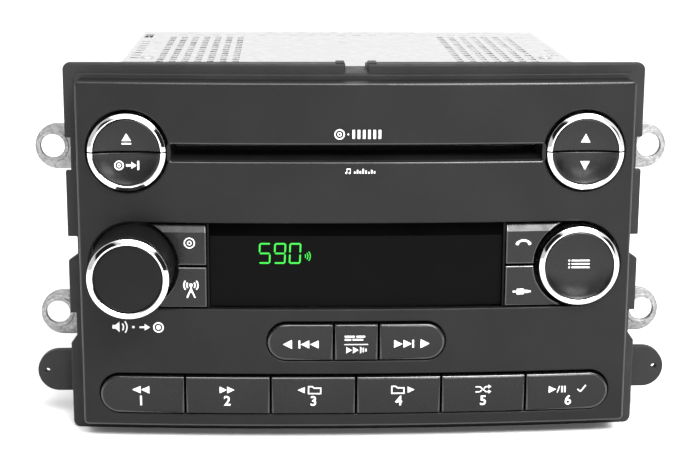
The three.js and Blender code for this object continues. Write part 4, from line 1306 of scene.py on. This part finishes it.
def sheet_with_slots(bm, corners, slots, w0, w1, axes):
    (u0, u1), (v0, v1) = corners
    us, vs = grid_lines(u0, u1, slots, 0), grid_lines(v0, v1, slots, 1)
    keyed = sorted(slots)
    columns = {}
    for u in [(a + b) / 2 for a, b in zip(us, us[1:])]:
        columns[u] = [slot for slot in keyed if slot[0] < u < slot[1]]

    def is_hole(u, v):
        return any(slot[2] < v < slot[3] for slot in columns[u])

    pierced_sheet(bm, us, vs, is_hole, w0, w1, axes)


def slot_at(u, v, half_u, half_v):
    """One slot of a sheet, from its middle and its half sizes."""
    return u - half_u, u + half_u, v - half_v, v + half_v


def cover_slots(front):
    """Bands of short slots down each side, two staggered rows at the back and a few by the edges."""
    slots = []
    for side in (-1, 1):
        for band in range(VENT["columns"]):
            x = side * (VENT["first"] + VENT["column"] * band)
            for y in spaced(front + VENT["start"], front + VENT["end"], VENT["pitch"]):
                slots.append(slot_at(x, y, VENT["half_width"], VENT["half_length"]))
    for y, shift in REAR_ROWS:
        for x in spaced(-68 + shift, 68, REAR_PITCH):
            if abs(x) < 34 or abs(x) > 58 or not shift:
                slots.append(slot_at(x, y, 1.9, 0.7))
    slots += [slot_at(-81.9, y, 1.7, 1.2) for y in spaced(95, 153, 8.2)]
    slots.append((-84.2, -80.6, 168, 181))
    slots += [slot_at(81.9, y, 1.5, 0.9) for y in (102, 110.5, 119)]
    return slots


def top_cover():
    lo, hi = span("top_cover")
    edge = hi.x - 1.6
    bm = bmesh.new()
    slots = cover_slots(lo.y)
    sheet_with_slots(bm, ((-edge, edge), (lo.y, hi.y)), slots, hi.z - SHEET, hi.z, "xyz")
    for side in (-1, 1):
        bend = [(edge, hi.z, 0), (edge, hi.z - SHEET, 0), (hi.x - SHEET, hi.z - SHEET, 0.7),
                (hi.x - SHEET, lo.z, 0), (hi.x, lo.z, 0), (hi.x, hi.z, 1.5)]
        section = [(side * x, z) for x, z in filleted(bend, 6)]
        plate(bm, [section], lo.y, hi.y)
    stand_in("top_cover", bm, COVER_STEEL, "cover_steel", even=False)
    pressed_marks(hi.z)


def pressed_marks(top):
    """Small pressed dimples and rivets on the cover."""
    bm = bmesh.new()
    for x, y in ((-77, 150), (77, 168), (-30, 60), (30, 60), (0, 150)):
        lathe_up(bm, [(0, 0.35), (1.3, 0.3), (1.9, 0.1), (2.1, -0.1), (0, -0.1)], x, y, top, 24)
    piece("cover_rivets", bm, COVER_STEEL, slot="cover_steel", even=False)


def lathe_up(bm, profile, x, y, z, steps=48):
    """A closed profile of (radius, height) points, turned about a line along z."""
    rings = []
    for i in range(steps):
        a = 2 * math.pi * i / steps
        rings.append([bm.verts.new((x + r * math.cos(a), y + r * math.sin(a), z + h)) for r, h in profile])
    join_rings(bm, rings + rings[:1])


def screw_head(bm, x, y, z, radius, height):
    """A domed head, standing along z."""
    dome = [(radius * math.sin(math.radians(a)), height * (0.35 + 0.65 * math.cos(math.radians(a))))
            for a in range(0, 91, 10)]
    lathe_up(bm, [*dome, (radius, 0), (0, 0)], x, y, z)


def cover_screws():
    """Low pan heads with a cross recess."""
    for node in ("cover_screw_left", "cover_screw_right"):
        lo, hi = span(node)
        x, y, _ = middle(node)
        radius = (hi.x - lo.x) / 2
        bm = bmesh.new()
        seat, top = hi.z - SCREW_HEAD, hi.z - 0.35
        floor = top - SCREW_RECESS
        profile = [(0, lo.z), (SHANK, lo.z), (SHANK, seat), (radius, seat), (radius, seat + 0.12),
                   (radius * 0.85, top - 0.2), (radius * 0.55, top), (0.95, top), (0.7, floor), (0, floor)]
        lathe_up(bm, profile, x, y, 0, 32)
        for angle in (0, 90):
            turned = bmesh.new()
            block(turned, (-0.95, -0.16, floor - 0.1), (0.95, 0.16, top - 0.12))
            join_turned(bm, turned, angle, "Z", (x, y, 0))
        stand_in(node, bm, COVER_STEEL, "galvanised", even=False)


def chassis():
    """The folded case: side walls with louvres, a floor with vents, a front wall and four feet."""
    lo, hi = span("chassis")
    sheet, bottom = CASE["sheet"], CASE["bottom"]
    top = hi.z
    bm = bmesh.new()
    louvres = []
    for row in range(LOUVRE["rows"]):
        z = LOUVRE["lowest"] + LOUVRE["rise"] * row
        for y in spaced(LOUVRE["start"], LOUVRE["end"], LOUVRE["pitch"]):
            louvres.append(slot_at(y, z, LOUVRE["half_length"], LOUVRE["half_height"]))
    for side in (-1, 1):
        near, far = mirrored(side, hi.x - sheet, hi.x)
        sheet_with_slots(bm, ((lo.y, hi.y), (bottom, top)), louvres, near, far, "yzx")
    floor_slots = []
    for x in spaced(-FLOOR_VENT["x"], FLOOR_VENT["x"], FLOOR_VENT["column"]):
        for y in spaced(FLOOR_VENT["start"], FLOOR_VENT["end"], FLOOR_VENT["pitch"]):
            floor_slots.append(slot_at(x, y, FLOOR_VENT["half_width"], FLOOR_VENT["half_length"]))
    edge = hi.x - sheet
    sheet_with_slots(bm, ((-edge, edge), (lo.y, hi.y)), floor_slots, bottom, bottom + sheet, "xyz")
    sheet_with_slots(bm, ((-edge, edge), (bottom + sheet, top)), [DISC_MOUTH], lo.y, lo.y + sheet, "xzy")
    wide = FOOT["radius"]
    foot = [(0, lo.z), (wide - 1.2, lo.z), (wide - 0.5, lo.z + 0.5), (wide, bottom + 0.1), (0, bottom + 0.1)]
    for side in (-1, 1):
        for y in (lo.y + FOOT["from_end"], hi.y - FOOT["from_end"]):
            lathe_up(bm, foot, side * (hi.x - FOOT["inset"]), y, 0)
    stand_in("chassis", bm, GALVANISED, "galvanised", even=False)


def case_ribs():
    """Stiffening ribs pressed in the side walls, and the folded seam at each rear corner."""
    hi = span("chassis")[1]
    bm = bmesh.new()
    for side in (-1, 1):
        for z in RIB["levels"]:
            near, far = mirrored(side, hi.x - 0.2, hi.x + 0.7)
            block(bm, (near, RIB["start"], z - RIB["half"]), (far, RIB["end"], z + RIB["half"]), 0.35)
        near, far = mirrored(side, hi.x - 9, hi.x - 1)
        block(bm, (near, hi.y - 1.1, -58), (far, hi.y + 0.15, 54), 0.12)
    piece("case_ribs", bm, GALVANISED, slot="galvanised", even=False)


def bracket(node, side):
    """A side bracket: a strip on the case wall and two round ears with a large hole each."""
    lo, hi = span(node)
    inner = lo.x if side > 0 else -hi.x
    tip = hi.x if side > 0 else -lo.x
    front, back = lo.y, hi.y
    bm = bmesh.new()
    round_end, half = EAR["radius"], EAR["radius"] + 0.05
    for z in EAR["levels"]:
        corners = [(inner, z - half, 0.3), (tip, z - half, round_end), (tip, z + half, round_end),
                   (inner, z + half, 0.3)]
        outline = [(side * x, pz) for x, pz in filleted(corners, 18)]
        centre = side * (tip - EAR["inset"])
        hole = circle(centre, z, EAR["hole"], 40)
        plate(bm, [outline, hole], front, front + EAR["thick"], 0.45)
        collar_ring = [circle(centre, z, EAR["hole"] + 1.5, 40), hole]
        plate(bm, collar_ring, front - 0.25, front + 0.5, 0.25)
        near, far = mirrored(side, inner + 0.1, inner + 4)
        block(bm, (near, front + 1, z - 3), (far, front + 12, z + 3), 0.6)
    near, far = mirrored(side, inner, inner + 1.5)
    block(bm, (near, front + 0.3, lo.z), (far, back, hi.z), 0.4)
    for y in (front + 18, back - 10):
        for z in (-24, 26):
            head = bmesh.new()
            screw_head(head, 0, 0, 0, 2.6, 1.2)
            join_turned(bm, head, side * 90, "Y", (side * (inner + 1.4), y, z))
    stand_in(node, bm, GALVANISED, "galvanised")


# ---------------------------------------------------------------- back
def rear_details():
    """Screws and pressed ribs on the back."""
    back = span("rear_panel")[1].y
    bm = bmesh.new()
    for x, z in ((-78, 48), (78, 48), (-78, -52), (78, -52), (8, 48), (8, -52)):
        head = bmesh.new()
        screw_head(head, 0, 0, 0, 2.8, 1.3)
        join_turned(bm, head, -90, "X", (x, back - 0.05, z))
    for z in (16, 22, 28, 34):
        block(bm, (8, back - 0.2, z - 1), (52, back + 0.5, z + 1), 0.3)
    piece("rear_screws_and_ribs", bm, GALVANISED, slot="galvanised", even=False)


PIN = {"columns": 8, "inset": 5.6, "half": 0.65}


def connector_pins():
    """Two rows of pins, and the keying ribs between them."""
    lo, hi = span("main_connector")
    bm = bmesh.new()
    x0, x1, half = lo.x + PIN["inset"], hi.x - PIN["inset"], PIN["half"]
    z = (lo.z + hi.z) / 2
    for level in (z - 7, z + 7):
        for i in range(PIN["columns"]):
            x = x0 + (x1 - x0) * i / (PIN["columns"] - 1)
            block(bm, (x - half, lo.y + 1, level - half), (x + half, hi.y - 2.2, level + half), 0.2)
    piece("connector_pins", bm, TIN, slot="inner_steel", even=False)
    bm = bmesh.new()
    for x in spaced(lo.x + 10, hi.x - 8, 14):
        block(bm, (x - 0.6, lo.y + 2, z - 1.5), (x + 0.6, hi.y - 1, z + 1.5), 0.2)
    block(bm, (lo.x + 1.4, lo.y + 2, z - 0.7), (hi.x - 1.4, hi.y - 1.5, z + 0.7), 0.2)
    piece("connector_keys", bm, EPOXY, slot="moulded_black", even=False)


def aerial_core():
    lo, hi = span("antenna_socket")
    x, _, z = middle("antenna_socket")
    bm = bmesh.new()
    lathe(bm, [(0.9, lo.y + 1.8), (4.1, lo.y + 1.8), (4.1, lo.y + 6), (0.9, lo.y + 6)], x, z, 32)
    piece("aerial_insulator", bm, EPOXY, slot="moulded_black", even=False)
    bm = bmesh.new()
    tube = [(0.5, lo.y + 2), (0.9, lo.y + 2), (0.9, hi.y - 2.6), (0.75, hi.y - 2.3), (0.5, hi.y - 2.3)]
    lathe(bm, tube, x, z, 24)
    piece("aerial_contact", bm, TIN, slot="inner_steel", even=False)


def fuse_blades():
    """The metal that shows at the outer end of the fuse."""
    back = span("fuse")[1].y
    x, _, z = middle("fuse")
    bm = bmesh.new()
    for level in (z - 4.6, z + 4.6):
        block(bm, (x - 1.1, back - 1, level - 1.2), (x + 1.1, back + 0.25, level + 1.2), 0.25)
    block(bm, (x - 1.9, back - 0.6, z - 2.4), (x + 1.9, back + 0.35, z + 2.4), 0.3)
    piece("fuse_top", bm, TIN, slot="inner_steel", even=False)


# ---------------------------------------------------------------- CAD nodes that stay
KEPT = (                 # material, slot, and each node with the width of its soft edges
    (GALVANISED, "galvanised", {"rear_panel": 0.3}),
    (SINK_METAL, "heat_sink_metal", {"heat_sink": 0.35}),
    (TIN, "inner_steel", {"antenna_socket": 0.3}),
    (FUSE_PLASTIC, "fuse_plastic", {"fuse": 0.5}),
    (PANEL_GLASS, "display_panel", {"display_module": 0.3}),
    (RUBBER, "soft_rubber", {"keypad_mat": 0.2, "feed_roller": 0.4}),
    (BOARD, "circuit_board", {"front_board": 0.15, "main_board": 0.15}),
    (SLEEVE, "capacitor_sleeve", {"filter_capacitor": 0.8}),
    (FELT, "felt", {"slot_felt": 0.2}),
    (EPOXY, "moulded_black", {"main_connector": 0.3, "volume_encoder": 0.5, "amplifier_chip": 0.3,
                              "turntable": 0.4, "laser_sled": 0.3}),
    (INNER_STEEL, "inner_steel", {"volume_shaft": 0.3, "tuner_module": 0.4, "deck_frame": 0.2,
                                  "rail_left": 0.2, "rail_right": 0.2, "spindle_motor": 0.5,
                                  "clamp_arm": 0.3}),
)


def keep(node, material, bevel):
    """Gives a CAD node its finish and takes the hardness off its edges."""
    obj = frame["nodes"][node]
    obj.data.materials.clear()
    obj.data.materials.append(material)
    weld = obj.modifiers.new("weld", "WELD")
    weld.merge_threshold = 1e-6
    flat = obj.modifiers.new("flat_faces", "DECIMATE")
    flat.decimate_type = "DISSOLVE"
    flat.angle_limit = math.radians(1)
    edges = obj.modifiers.new("soft_edges", "BEVEL")
    edges.width = bevel * MM
    edges.segments = 2
    edges.limit_method = "ANGLE"
    edges.angle_limit = math.radians(40)
    edges.use_clamp_overlap = True
    weighted = obj.modifiers.new("even_shading", "WEIGHTED_NORMAL")
    weighted.keep_sharp = True


# ---------------------------------------------------------------- build
for build in (camera, studio, fascia, slot_funnel, display_divider, mounting_frame):
    build()
for half, way in (("eject", 1), ("load", -1), ("up", 1), ("down", -1)):
    half_button(half, way)
for build in (menu_button, volume_knob, keys, display_lens, display_mask, round_marks, fascia_marks,
              key_marks, preset_marks, display_marks, top_cover, cover_screws, chassis, case_ribs):
    build()
bracket("bracket_left", -1)
bracket("bracket_right", 1)
for build in (rear_details, connector_pins, aerial_core, fuse_blades):
    build()
for finish, slot_name, nodes in KEPT:
    for node_name, bevel_width in nodes.items():
        keep(node_name, finish, bevel_width)
